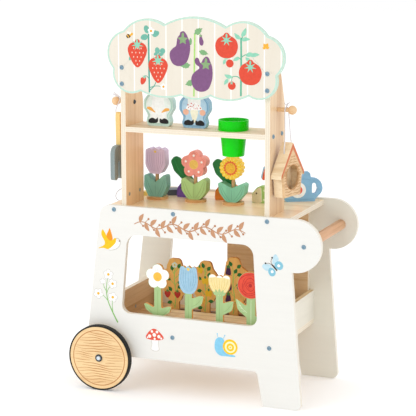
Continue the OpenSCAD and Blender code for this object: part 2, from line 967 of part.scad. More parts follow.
module gable_outline(inset) {
    w = house_width / 2 - 9 - inset;
    polygon([
        [-house_foot + inset, house_z + inset],
        [-w, roof_under(w) - inset],
        [0, roof_under(0) - inset],
        [w, roof_under(w) - inset],
        [house_foot - inset, house_z + inset]]);
}

module birdhouse_front() {
    color("#D9A878") placed() house_frame()
        side_board(house_depth / 2 - house_front_t, house_front_t) difference() {
            gable_outline(0);
            translate([0, -house_drop - 80]) circle(d = 56);
        }
}

// back, sloping sides, floor and the two roof boards
module birdhouse_case() {
    half = house_width / 2;
    eave = -house_drop - eave_drop;
    color("#E3BC8C") placed() house_frame() {
        difference() {
            side_board(-house_depth / 2, house_depth - house_front_t) gable_outline(0);
            side_board(-house_depth / 2 + 5, house_depth) gable_outline(5);
        }
        difference() {
            side_board(-house_depth / 2, house_depth) polygon([
                [-half, eave],
                [0, -house_drop],
                [half, eave],
                [half, roof_under(half)],
                [0, roof_under(0)],
                [-half, roof_under(half)]]);
            for (s = [-1, 1]) {
                translate([0, s * 16, -house_drop - 50]) cylinder(h = 60, d = cord_d + 1.2);
            }
        }
    }
}

// cord: from one roof hole over the peg and down through the other
house_route = [
    [0, -16, -103], [0, -16, -96], [0, -16, -89], [0, -15, -82], [0, -13, -68],
    [-1, -11, -50], [-2, -10, -32], [-3, -9, -16], [-4, -8, -2]];
module birdhouse_cord() {
    other = [for (i = [len(house_route) - 1:-1:0])
        [house_route[i][0], -house_route[i][1], house_route[i][2]]];
    arc_y = 4 * tan(house_turn);
    arc = [for (a = [180:-30:0]) [-4, arc_y + (loop_r + 0.6) * cos(a), loop_r * sin(a)]];
    color("#E8E2D2") placed() house_frame()
        tube(concat(house_route, arc, other), cord_r, [1, 0, 0]);
}

// ---------- fork on the left peg ----------

module fork_frame() {
    translate([fork_x, up_mid, peg_z]) children();
}

fork_top = -26;
fork_t = 11;
handle_l = 78;
prong_w = 19;
prong_gap = 11;
prong_root = 38;

module fork_handle() {
    color("#E9B23A") placed() fork_frame() difference() {
        side_board(-fork_t / 2, fork_t)
            polygon(rounded([
                [-7, fork_top - handle_l, 0], [-9, fork_top - 20, 6], [-9, fork_top, 8],
                [9, fork_top, 8], [9, fork_top - 20, 6], [7, fork_top - handle_l, 0]]));
        rod_x(-fork_t, fork_t, 0, fork_top - 8, cord_d + 1.6);
    }
}

module fork_head() {
    top = fork_top - handle_l;
    bottom = fork_top - fork_length;
    a = prong_w / 2;
    b = a + prong_gap;
    c = b + prong_w;
    root = top - prong_root;
    color("#7C8C9C") placed() fork_frame() side_board(-fork_t / 2, fork_t)
        polygon(rounded([
            [-12, top, 3], [-c, top - 2, 18], [-c, bottom, 9], [-b, bottom, 9],
            [-b, root, 5], [-a, root, 5], [-a, bottom, 9], [a, bottom, 9],
            [a, root, 5], [b, root, 5], [b, bottom, 9], [c, bottom, 9],
            [c, top - 2, 18], [12, top, 3]]));
}

fork_route = [
    [-1, 0, -34], [-4, 0, -34], [-7, -1, -33], [-7, -3, -28], [-6, -5, -20], [-2, -7, -12],
    [3, -7, -2]];

module fork_cord() {
    arc = [for (a = [180:-30:0]) [4, loop_r * cos(a), loop_r * sin(a)]];
    other = [[5, 7, -2], [6, 7, -12], [7, 5, -20], [8, 3, -28], [7, 1, -33], [4, 0, -34],
        [1, 0, -34]];
    color("#E8E2D2") placed() fork_frame()
        tube(concat(fork_route, arc, other), cord_r, [1, 0, 0.01]);
}

// ---------- spade lying on the counter ----------

module spade_frame() {
    translate([spade_x, spade_y, counter_height]) rotate([0, 0, spade_turn]) children();
}

spade_t = 10;

module spade_handle() {
    color("#E9B23A") placed() spade_frame() difference() {
        linear_extrude(height = spade_t) polygon(rounded([
            [-35, -9, 8], [-35, 9, 8], [-14, 9, 6], [38, 7, 0], [38, -7, 0], [-14, -9, 6]]));
        translate([-28, 0, -eps]) cylinder(h = 20, d = cord_d + 1.6);
    }
}

module spade_blade() {
    color("#4A5058") placed() spade_frame() linear_extrude(height = spade_t + 4)
        polygon(rounded([
            [38, -10, 3], [38, 10, 3], [46, 17, 6], [82, 17, 12], [97, 0, 8], [82, -17, 12],
            [46, -17, 6]]));
}

spade_route = [
    [-28, 0, 5], [-28, 0, 11], [-32, 0, 17], [-40, 1, 20], [-50, 2, 19], [-60, 3, 15], [-67, 3, 8],
    [-70, 2, 0], [-68, 1, -7], [-61, 0, -12], [-52, 0, -13], [-44, 0, -11], [-41, 0, -6],
    [-40, 0, 1], [-38, 0, 4], [-35, 0, 4]];

module spade_cord() {
    color("#E8E2D2") placed() spade_frame() tube(spade_route, cord_r, [0, 1, 0]);
}

// ---------- everything ----------

front_panel();
rear_panel();
counter_top();
left_upright();
right_upright();
upper_shelf();
sign_board();
hanging_pegs();
planter_floor();
planter_end_left();
planter_end_right();
flower_rack();
tree_rack();
rear_backboard();
handle_bar();
axle_rod();
axle_bushes();
axle_washers();
axle_screws();
furniture_screws();
barrel_nuts();
front_wheel();
front_tyre();
rear_wheel();
rear_tyre();
tulip_bloom();
tulip_leaves();
tulip_base();
pink_bloom();
pink_leaves();
pink_back_leaf();
pink_base();
sun_bloom();
sun_leaves();
sun_back_leaf();
sun_base();
daisy_board();
blue_tulip_board();
yellow_tulip_board();
rose_board();
berry_tree();
pepper_tree();
aubergine_tree();
green_pot();
mint_sack();
blue_sack();
watering_can();
purple_beetle();
orange_beetle();
green_beetle();
birdhouse_front();
birdhouse_case();
birdhouse_cord();
fork_head();
fork_handle();
fork_cord();
spade_blade();
spade_handle();
spade_cord();
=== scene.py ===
import math

import bmesh
import bpy
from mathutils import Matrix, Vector


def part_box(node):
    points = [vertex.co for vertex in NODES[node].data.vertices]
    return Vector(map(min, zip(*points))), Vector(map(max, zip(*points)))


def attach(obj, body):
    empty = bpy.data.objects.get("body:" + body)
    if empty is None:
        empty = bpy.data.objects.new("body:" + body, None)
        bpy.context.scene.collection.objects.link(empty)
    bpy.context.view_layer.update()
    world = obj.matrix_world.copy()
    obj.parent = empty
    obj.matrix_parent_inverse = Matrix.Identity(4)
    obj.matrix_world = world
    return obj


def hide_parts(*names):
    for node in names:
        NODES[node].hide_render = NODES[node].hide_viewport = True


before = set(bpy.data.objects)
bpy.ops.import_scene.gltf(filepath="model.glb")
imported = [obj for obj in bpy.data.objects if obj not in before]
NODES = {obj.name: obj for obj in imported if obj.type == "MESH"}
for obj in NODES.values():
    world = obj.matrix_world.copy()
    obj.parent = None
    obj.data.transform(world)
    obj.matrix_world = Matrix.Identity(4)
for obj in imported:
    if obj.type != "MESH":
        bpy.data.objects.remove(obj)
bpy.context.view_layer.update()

MM = 0.001
PLY = 0.012  # thickness of every board
PANEL_BACK = -0.131  # just behind the front panel, in y
UPRIGHT_ZONE = -0.17  # everything left of this x is at the left upright
COUNTER_Z = 0.446
BOARD_EDGE = "#EDAA5A"
VEIN_GREEN = "#8FB072"
BARE_STEM = "#D2A678"
WHITE = "#EAE9E4"
PLANTER_SLOT_Z = 0.160  # floor of the slots that hold the flower boards
TREE_SLOT_Z = 0.158
HOUSE_HOOK = Vector((0.2095, -0.082, 0.690))  # where the birdhouse's cord crosses its peg
HOUSE_TURN = math.radians(-12)
FORK_HOOK = Vector((-0.2155, -0.082, 0.690))
CORD_R = 0.0012

# ---------------------------------------------------------------- camera

CAM_AZIMUTH = math.radians(22.174)
CAM_ELEVATION = math.radians(11.051)
CAM_PLACE = Vector((1.4369, -3.5772, 1.1853))
CAM_LENS = 141.73


def make_camera():
    """The camera solved from the photo, so that the model lines up with it."""
    cam = bpy.data.objects.new("camera", bpy.data.cameras.new("camera"))
    bpy.context.scene.collection.objects.link(cam)
    a, e = CAM_AZIMUTH, CAM_ELEVATION
    back = Vector((math.sin(a) * math.cos(e), -math.cos(a) * math.cos(e), math.sin(e)))
    cam.location = CAM_PLACE
    cam.rotation_mode = "QUATERNION"
    cam.rotation_quaternion = (-back).to_track_quat("-Z", "Y")
    cam.data.lens = CAM_LENS
    cam.data.sensor_width = 36
    cam.data.clip_end = 60
    bpy.context.scene.camera = cam


# ---------------------------------------------------------------- materials

def rgb(code):
    """sRGB hex to a linear colour."""
    parts = [int(code[i:i + 2], 16) / 255 for i in (1, 3, 5)]
    lin = [c / 12.92 if c <= 0.04045 else ((c + 0.055) / 1.055) ** 2.4 for c in parts]
    return (*lin, 1.0)


def shade(code, k):
    """The same colour, darker (k < 1) or lighter (k > 1)."""
    c = rgb(code)
    return tuple(min(1.0, v * k) for v in c[:3]) + (1.0,)


class Graph:
    """A material's node graph with short helpers; every vector is in object space, in metres."""

    def __init__(self, name, rough=0.5):
        self.mat = bpy.data.materials.new(name)
        self.mat.use_nodes = True
        self.tree = self.mat.node_tree
        self.shader = self.tree.nodes["Principled BSDF"]
        self.shader.inputs["Roughness"].default_value = rough
        self.coords = self.tree.nodes.new("ShaderNodeTexCoord")

    def link(self, a, b):
        self.tree.links.new(a, b)

    def put(self, socket, value):
        if isinstance(value, bpy.types.NodeSocket):
            self.link(value, socket)
        else:
            socket.default_value = value

    def add(self, kind, inputs, **settings):
        """A new node with its settings made and its inputs set or linked."""
        n = self.tree.nodes.new("ShaderNode" + kind)
        for key, value in settings.items():
            setattr(n, key, value)
        for key, value in inputs.items():
            self.put(n.inputs[key], value)
        return n

    def noise(self, scale, detail=4.0, rough=0.55, distort=0.0, shift=(0, 0, 0)):
        """Noise in object space; scale is cycles per metre, one number or one for each axis."""
        if not isinstance(scale, tuple):
            scale = (scale, scale, scale)
        spot = self.add("Mapping", {
            "Vector": self.coords.outputs["Object"], "Scale": scale, "Location": shift})
        n = self.add("TexNoise", {
            "Vector": spot.outputs[0], "Scale": 1.0,
            "Detail": detail, "Roughness": rough, "Distortion": distort})
        return n.outputs["Fac"]

    def ramp(self, fac, stops, constant=False):
        n = self.tree.nodes.new("ShaderNodeValToRGB")
        if constant:
            n.color_ramp.interpolation = "CONSTANT"
        while len(n.color_ramp.elements) < len(stops):
            n.color_ramp.elements.new(0.5)
        for e, (pos, colour) in zip(n.color_ramp.elements, stops):
            e.position = pos
            e.color = colour
        self.link(fac, n.inputs["Fac"])
        return n.outputs["Color"]

    def mask(self, fac, low, high, most):
        """Grey that rises from black at low to most at high."""
        return self.ramp(fac, [(low, (0, 0, 0, 1)), (high, (most, most, most, 1))])

    def mix(self, fac, a, b):
        return self.add("Mix", {0: fac, 6: a, 7: b}, data_type="RGBA").outputs[2]

    def math(self, how, a, b=0.0):
        return self.add("Math", {0: a, 1: b}, operation=how).outputs[0]

    def axis(self, output, letter):
        parts = self.add("SeparateXYZ", {0: self.coords.outputs[output]})
        return parts.outputs["XYZ".index(letter)]

    def side(self, letter, level=0.6):
        """1 on faces that don't look along the letter's axis."""
        return self.math("LESS_THAN", self.math("ABSOLUTE", self.axis("Normal", letter)), level)

    def bump(self, height, depth, strength):
        n = self.add("Bump", {"Strength": strength, "Distance": depth, "Height": height})
        self.link(n.outputs["Normal"], self.shader.inputs["Normal"])

    def rough_from(self, fac, low, high):
        n = self.add("MapRange", {"Value": fac, "To Min": low, "To Max": high})
        self.link(n.outputs["Result"], self.shader.inputs["Roughness"])

    def set(self, name, value):
        self.shader.inputs[name].default_value = value

    def base(self, colour):
        self.put(self.shader.inputs["Base Color"], colour)


def stretch(axis, along, across):
    """Scale for noise: one value along an axis and another across it."""
    return tuple(along if a == axis else across for a in "XYZ")


def grain(g, axis, base, dark, fine=1.0):
    """Long wood grain along an axis: soft bands, thin darker lines and short pores."""
    bands = g.noise(stretch(axis, 3.0 * fine, 60.0 * fine), 3.0, 0.5, 0.4, (0.31, 0.17, 0.23))
    lines = g.noise(stretch(axis, 6.0 * fine, 420.0 * fine), 2.0, 0.6)
    pores = g.noise(stretch(axis, 60.0 * fine, 1500.0 * fine), 1.0, 0.5)
    cloud = g.noise(5.0, 2.0, 0.5)
    c = g.ramp(bands, [(0.3, shade(base, 1.05)), (0.52, rgb(base)), (0.68, rgb(dark)), (0.8, rgb(base))])
    c = g.mix(g.mask(lines, 0.5, 0.72, 0.45), c, rgb(dark))
    c = g.mix(g.mask(pores, 0.6, 0.75, 0.35), c, shade(dark, 0.8))
    c = g.mix(g.mask(cloud, 0.35, 0.7, 0.25), c, shade(base, 0.9))
    return c, lines, pores


def ply_lines(g, letter, start, thickness, light, dark, layers=5):
    """Colour across a plywood edge: alternating veneers with thin glue lines."""
    pos = g.math("DIVIDE", g.math("SUBTRACT", g.axis("Object", letter), start), thickness)
    stops = []
    for i in range(layers):
        tone = shade(light, 1.0 if i % 2 == 0 else 0.9)
        stops += [(i / layers, rgb(dark)), (i / layers + 0.03, tone)]
    c = g.ramp(pos, stops, constant=True)
    v = g.noise(300.0, 3.0)
    return g.mix(g.mask(v, 0.45, 0.8, 0.3), c, rgb(dark))


def wood(name, base, dark, axis, rough=0.5, fine=1.0, edge=None):
    """Bare satin wood. edge = (normal axis, start, thickness, light, dark) shows ply layers there."""
    g = Graph(name, rough)
    c, lines, pores = grain(g, axis, base, dark, fine)
    if edge:
        letter, start, thickness, light, line = edge
        c = g.mix(g.side(letter), c, ply_lines(g, letter, start, thickness, light, line))
    g.base(c)
    g.rough_from(lines, rough - 0.08, rough + 0.1)
    g.bump(g.math("ADD", lines, pores), 0.00012, 0.5)
    return g.mat


def paint(name, colour, axis="Z", rough=0.42, depth=0.10, edge=None, edge_colour=None, stem=None):
    """Water-based paint on wood: the grain shows through a little, with a fine orange peel.
    edge = axis of the faces' normal; the sides then take edge_colour with ply lines.
    stem = height below which the wood is a bare dowel."""
    g = Graph(name, rough)
    soft = g.noise(stretch(axis, 5.0, 90.0), 3.0, 0.5, 0.3)
    fine = g.noise(stretch(axis, 20.0, 700.0), 2.0)
    cloud = g.noise(14.0, 2.0)
    peel = g.noise(900.0, 1.0)
    c = g.ramp(soft, [(0.35, shade(colour, 1 + depth / 2)), (0.65, shade(colour, 1 - depth))])
    c = g.mix(g.mask(fine, 0.55, 0.8, 0.3), c, shade(colour, 1 - depth))
    c = g.mix(g.mask(cloud, 0.4, 0.75, 0.4), c,
        shade(colour, 1 - depth / 2))
    if edge:
        v = g.noise(tuple(260.0 if a == edge else 1.0 for a in "XYZ"), 2.0)
        e = g.ramp(v, [(0.4, shade(edge_colour, 1.06)), (0.5, shade(edge_colour, 0.8)),
            (0.62, rgb(edge_colour))])
        c = g.mix(g.side(edge), c, e)
    if stem:
        c = g.mix(g.math("LESS_THAN", g.axis("Object", "Z"), stem), c, rgb(BARE_STEM))
    g.base(c)
    g.rough_from(soft, rough - 0.05, rough + 0.08)
    g.bump(g.math("ADD", g.math("MULTIPLY", fine, 0.7), g.math("MULTIPLY", peel, 0.4)), 0.0001, 0.45)
    g.set("Specular IOR Level", 0.3)
    return g.mat


def metal(name, colour, rough=0.35, metallic=1.0, inside=None):
    """inside = the colour on the left upright's inner face, where the photo shows another finish."""
    g = Graph(name, rough)
    fine = g.noise(500.0, 3.0)
    c = g.ramp(fine, [(0.3, shade(colour, 0.9)), (0.7, shade(colour, 1.08))])
    if inside:
        behind_panel = g.math("GREATER_THAN", g.axis("Object", "Y"), PANEL_BACK)
        here = g.math("MULTIPLY", behind_panel, g.math("LESS_THAN", g.axis("Object", "X"), UPRIGHT_ZONE))
        c = g.mix(here, c, rgb(inside))
    g.base(c)
    g.set("Metallic", metallic)
    g.rough_from(fine, rough - 0.08, rough + 0.1)
    g.bump(fine, 0.00005, 0.3)
    return g.mat


def rubber(name, colour):
    g = Graph(name, 0.55)
    fine = g.noise(700.0, 2.0)
    g.base(g.ramp(fine, [(0.3, rgb(colour)), (0.7, shade(colour, 1.5))]))
    g.rough_from(fine, 0.45, 0.65)
    g.set("Specular IOR Level", 0.3)
    g.bump(fine, 0.0001, 0.4)
    return g.mat


def twine(name, colour):
    g = Graph(name, 0.85)
    twist = g.add("TexWave", {"Vector": g.coords.outputs["Object"], "Scale": 420.0, "Distortion": 1.5,
        "Detail": 1.0}, bands_direction="DIAGONAL").outputs["Fac"]
    fuzz = g.noise(1600.0, 2.0)
    c = g.ramp(twist, [(0.0, shade(colour, 0.84)), (0.5, rgb(colour)), (1.0, shade(colour, 1.08))])
    g.base(g.mix(g.mask(fuzz, 0.5, 0.8, 0.3), c, shade(colour, 0.85)))
    g.set("Sheen Weight", 0.3)
    g.bump(g.math("ADD", twist, fuzz), 0.0003, 0.6)
    return g.mat


_inks = {}


def ink(code, rough=0.45):
    """Printed or brushed colour for a motif; shared by every motif of that colour."""
    if code not in _inks:
        g = Graph("ink_" + code[1:], rough)
        fine = g.noise(160.0, 3.0)
        streak = g.noise((420.0, 420.0, 16.0), 2.0)
        c = g.ramp(fine, [(0.35, shade(code, 1.05)), (0.7, shade(code, 0.93))])
        g.base(g.mix(g.mask(streak, 0.5, 0.8, 0.3), c,
            shade(code, 0.88)))
        g.rough_from(fine, rough - 0.05, rough + 0.1)
        g.bump(fine, 0.00005, 0.3)
        g.set("Specular IOR Level", 0.25)
        _inks[code] = g.mat
    return _inks[code]


def give(node, material):
    o = NODES[node]
    for i in range(len(o.data.materials)):
        o.data.materials[i] = material
    for s in o.material_slots:
        s.material = material


# ---------------------------------------------------------------- shapes

def soften(node, width=0.0008, segments=2, angle=35):
    """Rounded edges on a CAD node, by modifiers only."""
    o = NODES[node]
    w = o.modifiers.new("weld", "WELD")
    w.merge_threshold = 0.00001
    b = o.modifiers.new("bevel", "BEVEL")
    b.width = width
    b.segments = segments
    b.limit_method = "ANGLE"
    b.angle_limit = math.radians(angle)
    b.harden_normals = True
    b.use_clamp_overlap = True


def new_piece(name, bm, material, body):
    """Finish a mesh as a named piece that rides on a body."""
    bmesh.ops.recalc_face_normals(bm, faces=bm.faces)
    mesh = bpy.data.meshes.new(name)
    bm.normal_update()
    bm.to_mesh(mesh)
    bm.free()
    mesh.materials.append(material)
    o = bpy.data.objects.new(name, mesh)
    bpy.context.scene.collection.objects.link(o)
    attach(o, body)
    return o


class Plane:
    """A flat face to print on, with the body it rides on, and a slot, which is stored but not used.
    u and v are in millimetres, and so is the height away from the face."""

    def __init__(self, origin, u=(1, 0, 0), v=(0, 0, 1), body="frame", slot=None):
        self.body = body
        self.slot = slot
        self.o = Vector(origin)
        self.u = Vector(u).normalized()
        self.v = Vector(v).normalized()
        self.n = self.u.cross(self.v)

    def at(self, u, v, h):
        return self.o + (self.u * u + self.v * v + self.n * h) * MM


def area(pts):
    """Signed area: above 0 when the outline runs anticlockwise."""
    return sum(a[0] * b[1] - b[0] * a[1] for a, b in zip(pts, pts[1:] + pts[:1])) / 2


def front(node, body, x=0.0, z=0.0):
    """The face of a CAD node that looks to -Y, with its zero at x and z in metres."""
    return Plane((x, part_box(node)[0].y, z), body=body, slot=node)


def layer_top(layer):
    """Height of a print above its face, in millimetres."""
    return 0.1 + 0.09 * layer


def raise_outline(bm, plane, pts, top, low=-0.15):
    """One thin closed solid standing on the plane over an outline."""
    if area(pts) < 0:
        pts = pts[::-1]
    a = [bm.verts.new(plane.at(u, v, low)) for u, v in pts]
    b = [bm.verts.new(plane.at(u, v, top)) for u, v in pts]
    n = len(pts)
    bm.faces.new(a[::-1])
    bm.faces.new(b)
    for i in range(n):
        j = (i + 1) % n
        bm.faces.new([a[i], a[j], b[j], b[i]])


def raise_ring(bm, plane, outer, inner, top, low=-0.15):
    """A closed band between two outlines with the same number of points."""
    n = len(outer)
    rows = []
    for pts in (outer, inner):
        rows.append([bm.verts.new(plane.at(u, v, low)) for u, v in pts])
        rows.append([bm.verts.new(plane.at(u, v, top)) for u, v in pts])
    ol, ot, il, it = rows
    for i in range(n):
        j = (i + 1) % n
        bm.faces.new([ot[i], ot[j], it[j], it[i]])
        bm.faces.new([ol[j], ol[i], il[i], il[j]])
        bm.faces.new([ol[i], ol[j], ot[j], ot[i]])
        bm.faces.new([it[i], it[j], il[j], il[i]])


def motif(name, plane, outlines, colour, layer=1):
    """All outlines of one colour as one piece; each is a hair higher than the one before it."""
    bm = bmesh.new()
    for i, pts in enumerate(outlines):
        k = i % 7
        raise_outline(bm, plane, pts, layer_top(layer) + 0.009 * k, -0.15 - 0.005 * k - 0.01 * layer)
    return new_piece(name, bm, ink(colour), plane.body)


def band(name, plane, outer, inner, colour, layer=1):
    """A line of one colour between two outlines."""
    bm = bmesh.new()
    raise_ring(bm, plane, outer, inner, layer_top(layer))
    return new_piece(name, bm, ink(colour), plane.body)


def spline(four, t):
    """Catmull-Rom point between the middle two of four points, in any dimension."""
    return tuple(0.5 * (2 * b + (c - a) * t + (2 * a - 5 * b + 4 * c - d) * t * t
        + (3 * b - a - 3 * c + d) * t ** 3) for a, b, c, d in zip(*four))


def smooth(pts, n=5):
    """Closed curve through the points."""
    k = len(pts)
    return [spline([pts[(i + d) % k] for d in (-1, 0, 1, 2)], s / n) for i in range(k) for s in range(n)]


def open_smooth(pts, n=6):
    """Open curve through the points."""
    last = len(pts) - 1
    out = []
    for i in range(last):
        four = [pts[min(max(i + d, 0), last)] for d in (-1, 0, 1, 2)]
        out += [spline(four, s / n) for s in range(n)]
    return out + [tuple(pts[-1])]


def stroke(pts, w0, w1=None, w2=None):
    """A brush stroke along points; its width runs from w0 through w1 to w2."""
    w1 = w0 if w1 is None else w1
    w2 = w0 if w2 is None else w2
    middle = tuple((a + b) / 2 for a, b in zip(pts[0], pts[1]))
    line = open_smooth(pts) if len(pts) > 2 else [pts[0], middle, pts[1]]
    left, right = [], []
    k = len(line) - 1
    for i, (x, y) in enumerate(line):
        ax, ay = line[max(i - 1, 0)]
        bx, by = line[min(i + 1, k)]
        d = math.hypot(bx - ax, by - ay) or 1.0
        t = i / k
        w = (w0 * (1 - 2 * t) + w1 * 2 * t if t < 0.5 else w1 * (2 - 2 * t) + w2 * (2 * t - 1)) / 2
        nx, ny = -(by - ay) / d * w, (bx - ax) / d * w
        left.append((x + nx, y + ny))
        right.append((x - nx, y - ny))
    return left + right[::-1]


def polar(r, a, cx=0.0, cz=0.0):
    """Point at radius r and angle a (radians) from a centre."""
    return (cx + r * math.cos(a), cz + r * math.sin(a))


def disc(cx, cy, rx, ry=None, turn=0.0, n=24):
    """Ellipse, turned by an angle in degrees."""
    ry = rx if ry is None else ry
    c, s = math.cos(math.radians(turn)), math.sin(math.radians(turn))
    out = []
    for i in range(n):
        a = 2 * math.pi * i / n
        x, y = rx * math.cos(a), ry * math.sin(a)
        out.append((cx + x * c - y * s, cy + x * s + y * c))
    return out


def leaf(x, y, length, width, turn, bend=0.0, n=8):
    """Pointed leaf that starts at (x, y) and runs out at an angle."""
    c, s = math.cos(math.radians(turn)), math.sin(math.radians(turn))
    up, down = [], []
    for i in range(n + 1):
        t = i / n
        w = width / 2 * math.sin(math.pi * t ** 0.8) ** 0.9
        m = bend * math.sin(math.pi * t)
        up.append((length * t, m + w))
        down.append((length * t, m - w))
    pts = up + down[-2:0:-1]
    return [(x + a * c - b * s, y + a * s + b * c) for a, b in pts]


def notched_leaf(x, y, length, width, turn, teeth=4):
    """Leaf with a saw-toothed rim."""
    pts = leaf(x, y, length, width, turn, 0, teeth * 2)
    mx, my = sum(p[0] for p in pts) / len(pts), sum(p[1] for p in pts) / len(pts)
    out = []
    for i, (px, py) in enumerate(pts):
        k = 0.18 if i % 2 else 0.0
        out.append((px + (mx - px) * k, py + (my - py) * k))
    return out


def star(cx, cy, r, r2, count, turn=90.0, squash=1.0):
    """Points at radius r with hollows at r2 between them."""
    out = []
    for i in range(count * 2):
        a = math.radians(turn + 180.0 * i / count)
        q = r if i % 2 == 0 else r2
        out.append((cx + q * math.cos(a), cy + q * math.sin(a) * squash))
    return out


def blossom(cx, cy, r, count=5, depth=0.28, turn=90.0, n=8):
    """Flower outline with round petals."""
    out = []
    for i in range(count * n):
        a = 2 * math.pi * i / (count * n)
        k = 1 - depth * (1 - abs(math.cos(count * a / 2)) ** 0.6)
        b = a + math.radians(turn)
        out.append((cx + r * k * math.cos(b), cy + r * k * math.sin(b)))
    return out


def bulge(p, q, h, n):
    """Arc from p to q that bulges to the left by h, as in the CAD source."""
    c = math.hypot(q[0] - p[0], q[1] - p[1])
    r = (c * c / 4 + h * h) / (2 * h)
    d = ((q[0] - p[0]) / c, (q[1] - p[1]) / c)
    m = ((p[0] + q[0]) / 2 - d[1] * (h - r), (p[1] + q[1]) / 2 + d[0] * (h - r))
    a0 = math.atan2(p[1] - m[1], p[0] - m[0])
    a1 = math.atan2(q[1] - m[1], q[0] - m[0])
    turn = (a1 - a0) % (2 * math.pi) - 2 * math.pi
    return [(m[0] + r * math.cos(a0 + turn * i / n), m[1] + r * math.sin(a0 + turn * i / n))
        for i in range(n)]


def lobed(rows, n=10):
    """Outline of bulging arcs; a row is the corner before an arc and the arc's height."""
    out = []
    for i, (x, z, h) in enumerate(rows):
        x2, z2, _ = rows[(i + 1) % len(rows)]
        out += bulge((x, z), (x2, z2), h, n)
    return out


def petals(count, r, tip):
    """Flower outline with deep round petals, as in the CAD source."""
    inner = r - tip
    rows = []
    for i in range(count):
        a = math.radians(90 + 180 / count - i * 360 / count)
        rows.append((inner * math.cos(a), inner * math.sin(a), r - inner * math.cos(math.pi / count)))
    return lobed(rows, 8)


def inset(pts, d):
    """Outline moved inwards by d."""
    if area(pts) < 0:
        pts = pts[::-1]
    out = []
    k = len(pts)
    for i in range(k):
        ax, ay = pts[i - 1]
        bx, by = pts[(i + 1) % k]
        s = math.hypot(bx - ax, by - ay) or 1.0
        out.append((pts[i][0] - (by - ay) / s * d, pts[i][1] + (bx - ax) / s * d))
    return out


def mirrored(half, cx=0.0, cz=0.0):
    """Whole outline from its right half, which runs from top to bottom."""
    return [(cx + x, cz + z) for x, z in half] + [(cx - x, cz + z) for x, z in half[::-1] if x > 0]


def moved(pts, dx, dy):
    return [(x + dx, y + dy) for x, y in pts]


def cord_mesh(name, pts, radius, material, body, sides=12):
    """Round cord swept along points in metres."""
    bm = bmesh.new()
    pts = [Vector(p) for p in pts]
    rings = []
    ref = None
    for i, p in enumerate(pts):
        t = (pts[min(i + 1, len(pts) - 1)] - pts[max(i - 1, 0)]).normalized()
        if ref is None:
            ref = t.orthogonal().normalized()
        u = (ref - t * ref.dot(t)).normalized()
        ref = u
        v = t.cross(u)
        rings.append([bm.verts.new(p + (u * math.cos(2 * math.pi * k / sides)
            + v * math.sin(2 * math.pi * k / sides)) * radius) for k in range(sides)])
    for a, b in zip(rings, rings[1:]):
        for k in range(sides):
            j = (k + 1) % sides
            bm.faces.new([a[k], a[j], b[j], b[k]])
    bm.faces.new(rings[0][::-1])
    bm.faces.new(rings[-1])
    for f in bm.faces:
        f.smooth = True
    return new_piece(name, bm, material, body)


# ---------------------------------------------------------------- surfaces of the stall

def panel_paint(node, colour=WHITE):
    g = Graph(node + "_paint", 0.4)
    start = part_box(node)[0].y
    soft = g.noise((6.0, 6.0, 80.0), 3.0)
    fine = g.noise((30.0, 700.0, 700.0), 2.0)
    peel = g.noise(1100.0, 1.0)
    face = g.ramp(soft, [(0.3, rgb(colour)), (0.75, shade(colour, 0.975))])
    layers = ply_lines(g, "Y", start, PLY, "#EDE8DC", "#DED3BE")
    g.base(g.mix(g.side("Y"), face, layers))
    g.rough_from(soft, 0.34, 0.46)
    g.bump(g.math("ADD", g.math("MULTIPLY", fine, 0.6), g.math("MULTIPLY", peel, 0.4)), 0.0001, 0.4)
    return g.mat


def ply_board(node, base, dark, axis, thin, rough=0.5):
    """Bare plywood: grain along one axis, and layers on the edges across the thin one."""
    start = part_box(node)[0]["XYZ".index(thin)]
    give(node, wood(node + "_ply", base, dark, axis, rough, 0.6, (thin, start, PLY, "#F2E8D6", "#DCC8A6")))


def dress_frame():
    """Materials and rounded edges for the boards, dowels and hardware."""
    give("front_panel", panel_paint("front_panel"))
    # the rear panel has the same white paint as the front; its darker cream here is painted shade for its
    # inner face, which lies in shade inside the stall
    give("rear_panel", panel_paint("rear_panel", "#E7E3D6"))
    ply_board("left_upright", "#F0C698", "#D8A36C", "Z", "X", 0.36)
    ply_board("right_upright", "#E6C7A0", "#CDA274", "Z", "X", 0.36)
    ply_board("upper_shelf", "#EBD6B6", "#D6B58A", "X", "Z")
    ply_board("counter_top", "#FBE0B8", "#E6BC88", "X", "Z", 0.3)
    ply_board("planter_floor", "#D9B78A", "#BE9260", "X", "Z", 0.55)
    ply_board("planter_end_left", "#D8B68A", "#BD9362", "Y", "X")
    ply_board("rear_backboard", "#DDBD92", "#C39A68", "X", "Y")
    give("planter_end_right", paint("end_right_paint", "#E6E1D3", "Y", 0.42, 0.03, "X", "#E6D0A8"))
    give("flower_rack", wood("flower_rack_pine", "#F8E0B8", "#C08E58", "X", 0.55, 0.8))
    # the tree rack is plain wood; its dark brown is painted shade for the slot under the trees, which lies
    # in the counter's shadow
    give("tree_rack", wood("tree_rack_painted_shade", "#8A6238", "#5A3A1E", "X", 0.55, 0.8))
    give("handle_bar", wood("handle_beech", "#D6A47A", "#B07C50", "Y", 0.42, 1.0))
    give("hanging_pegs", wood("peg_beech", "#EBC698", "#CF9C66", "X", 0.45, 1.2))
    give("axle_rod", metal("axle_steel", "#C4C8CC", 0.25))
    give("axle_bushes", metal("bush_alloy", "#9FA4AA", 0.4))
    give("axle_washers", metal("washer_zinc", "#454B52", 0.4))
    give("axle_screws", metal("axle_screw_steel", "#DFEAF2", 0.4, 0.6))
    give("furniture_screws", metal("screw_blue_grey", "#7F9DB0", 0.38, 0.35, "#3E4348"))
    give("barrel_nuts", metal("nut_zinc", "#7A8088", 0.4, 0.7, "#9AA6AC"))
    for n in ("front_panel", "rear_panel", "left_upright", "right_upright", "upper_shelf", "counter_top",
            "planter_end_left", "planter_end_right"):
        soften(n, 0.001, 2)
    for n in ("planter_floor", "flower_rack", "tree_rack", "rear_backboard"):
        soften(n, 0.0006, 2)
    for n in ("handle_bar", "hanging_pegs", "axle_washers", "axle_screws", "furniture_screws"):
        soften(n, 0.0004, 2)


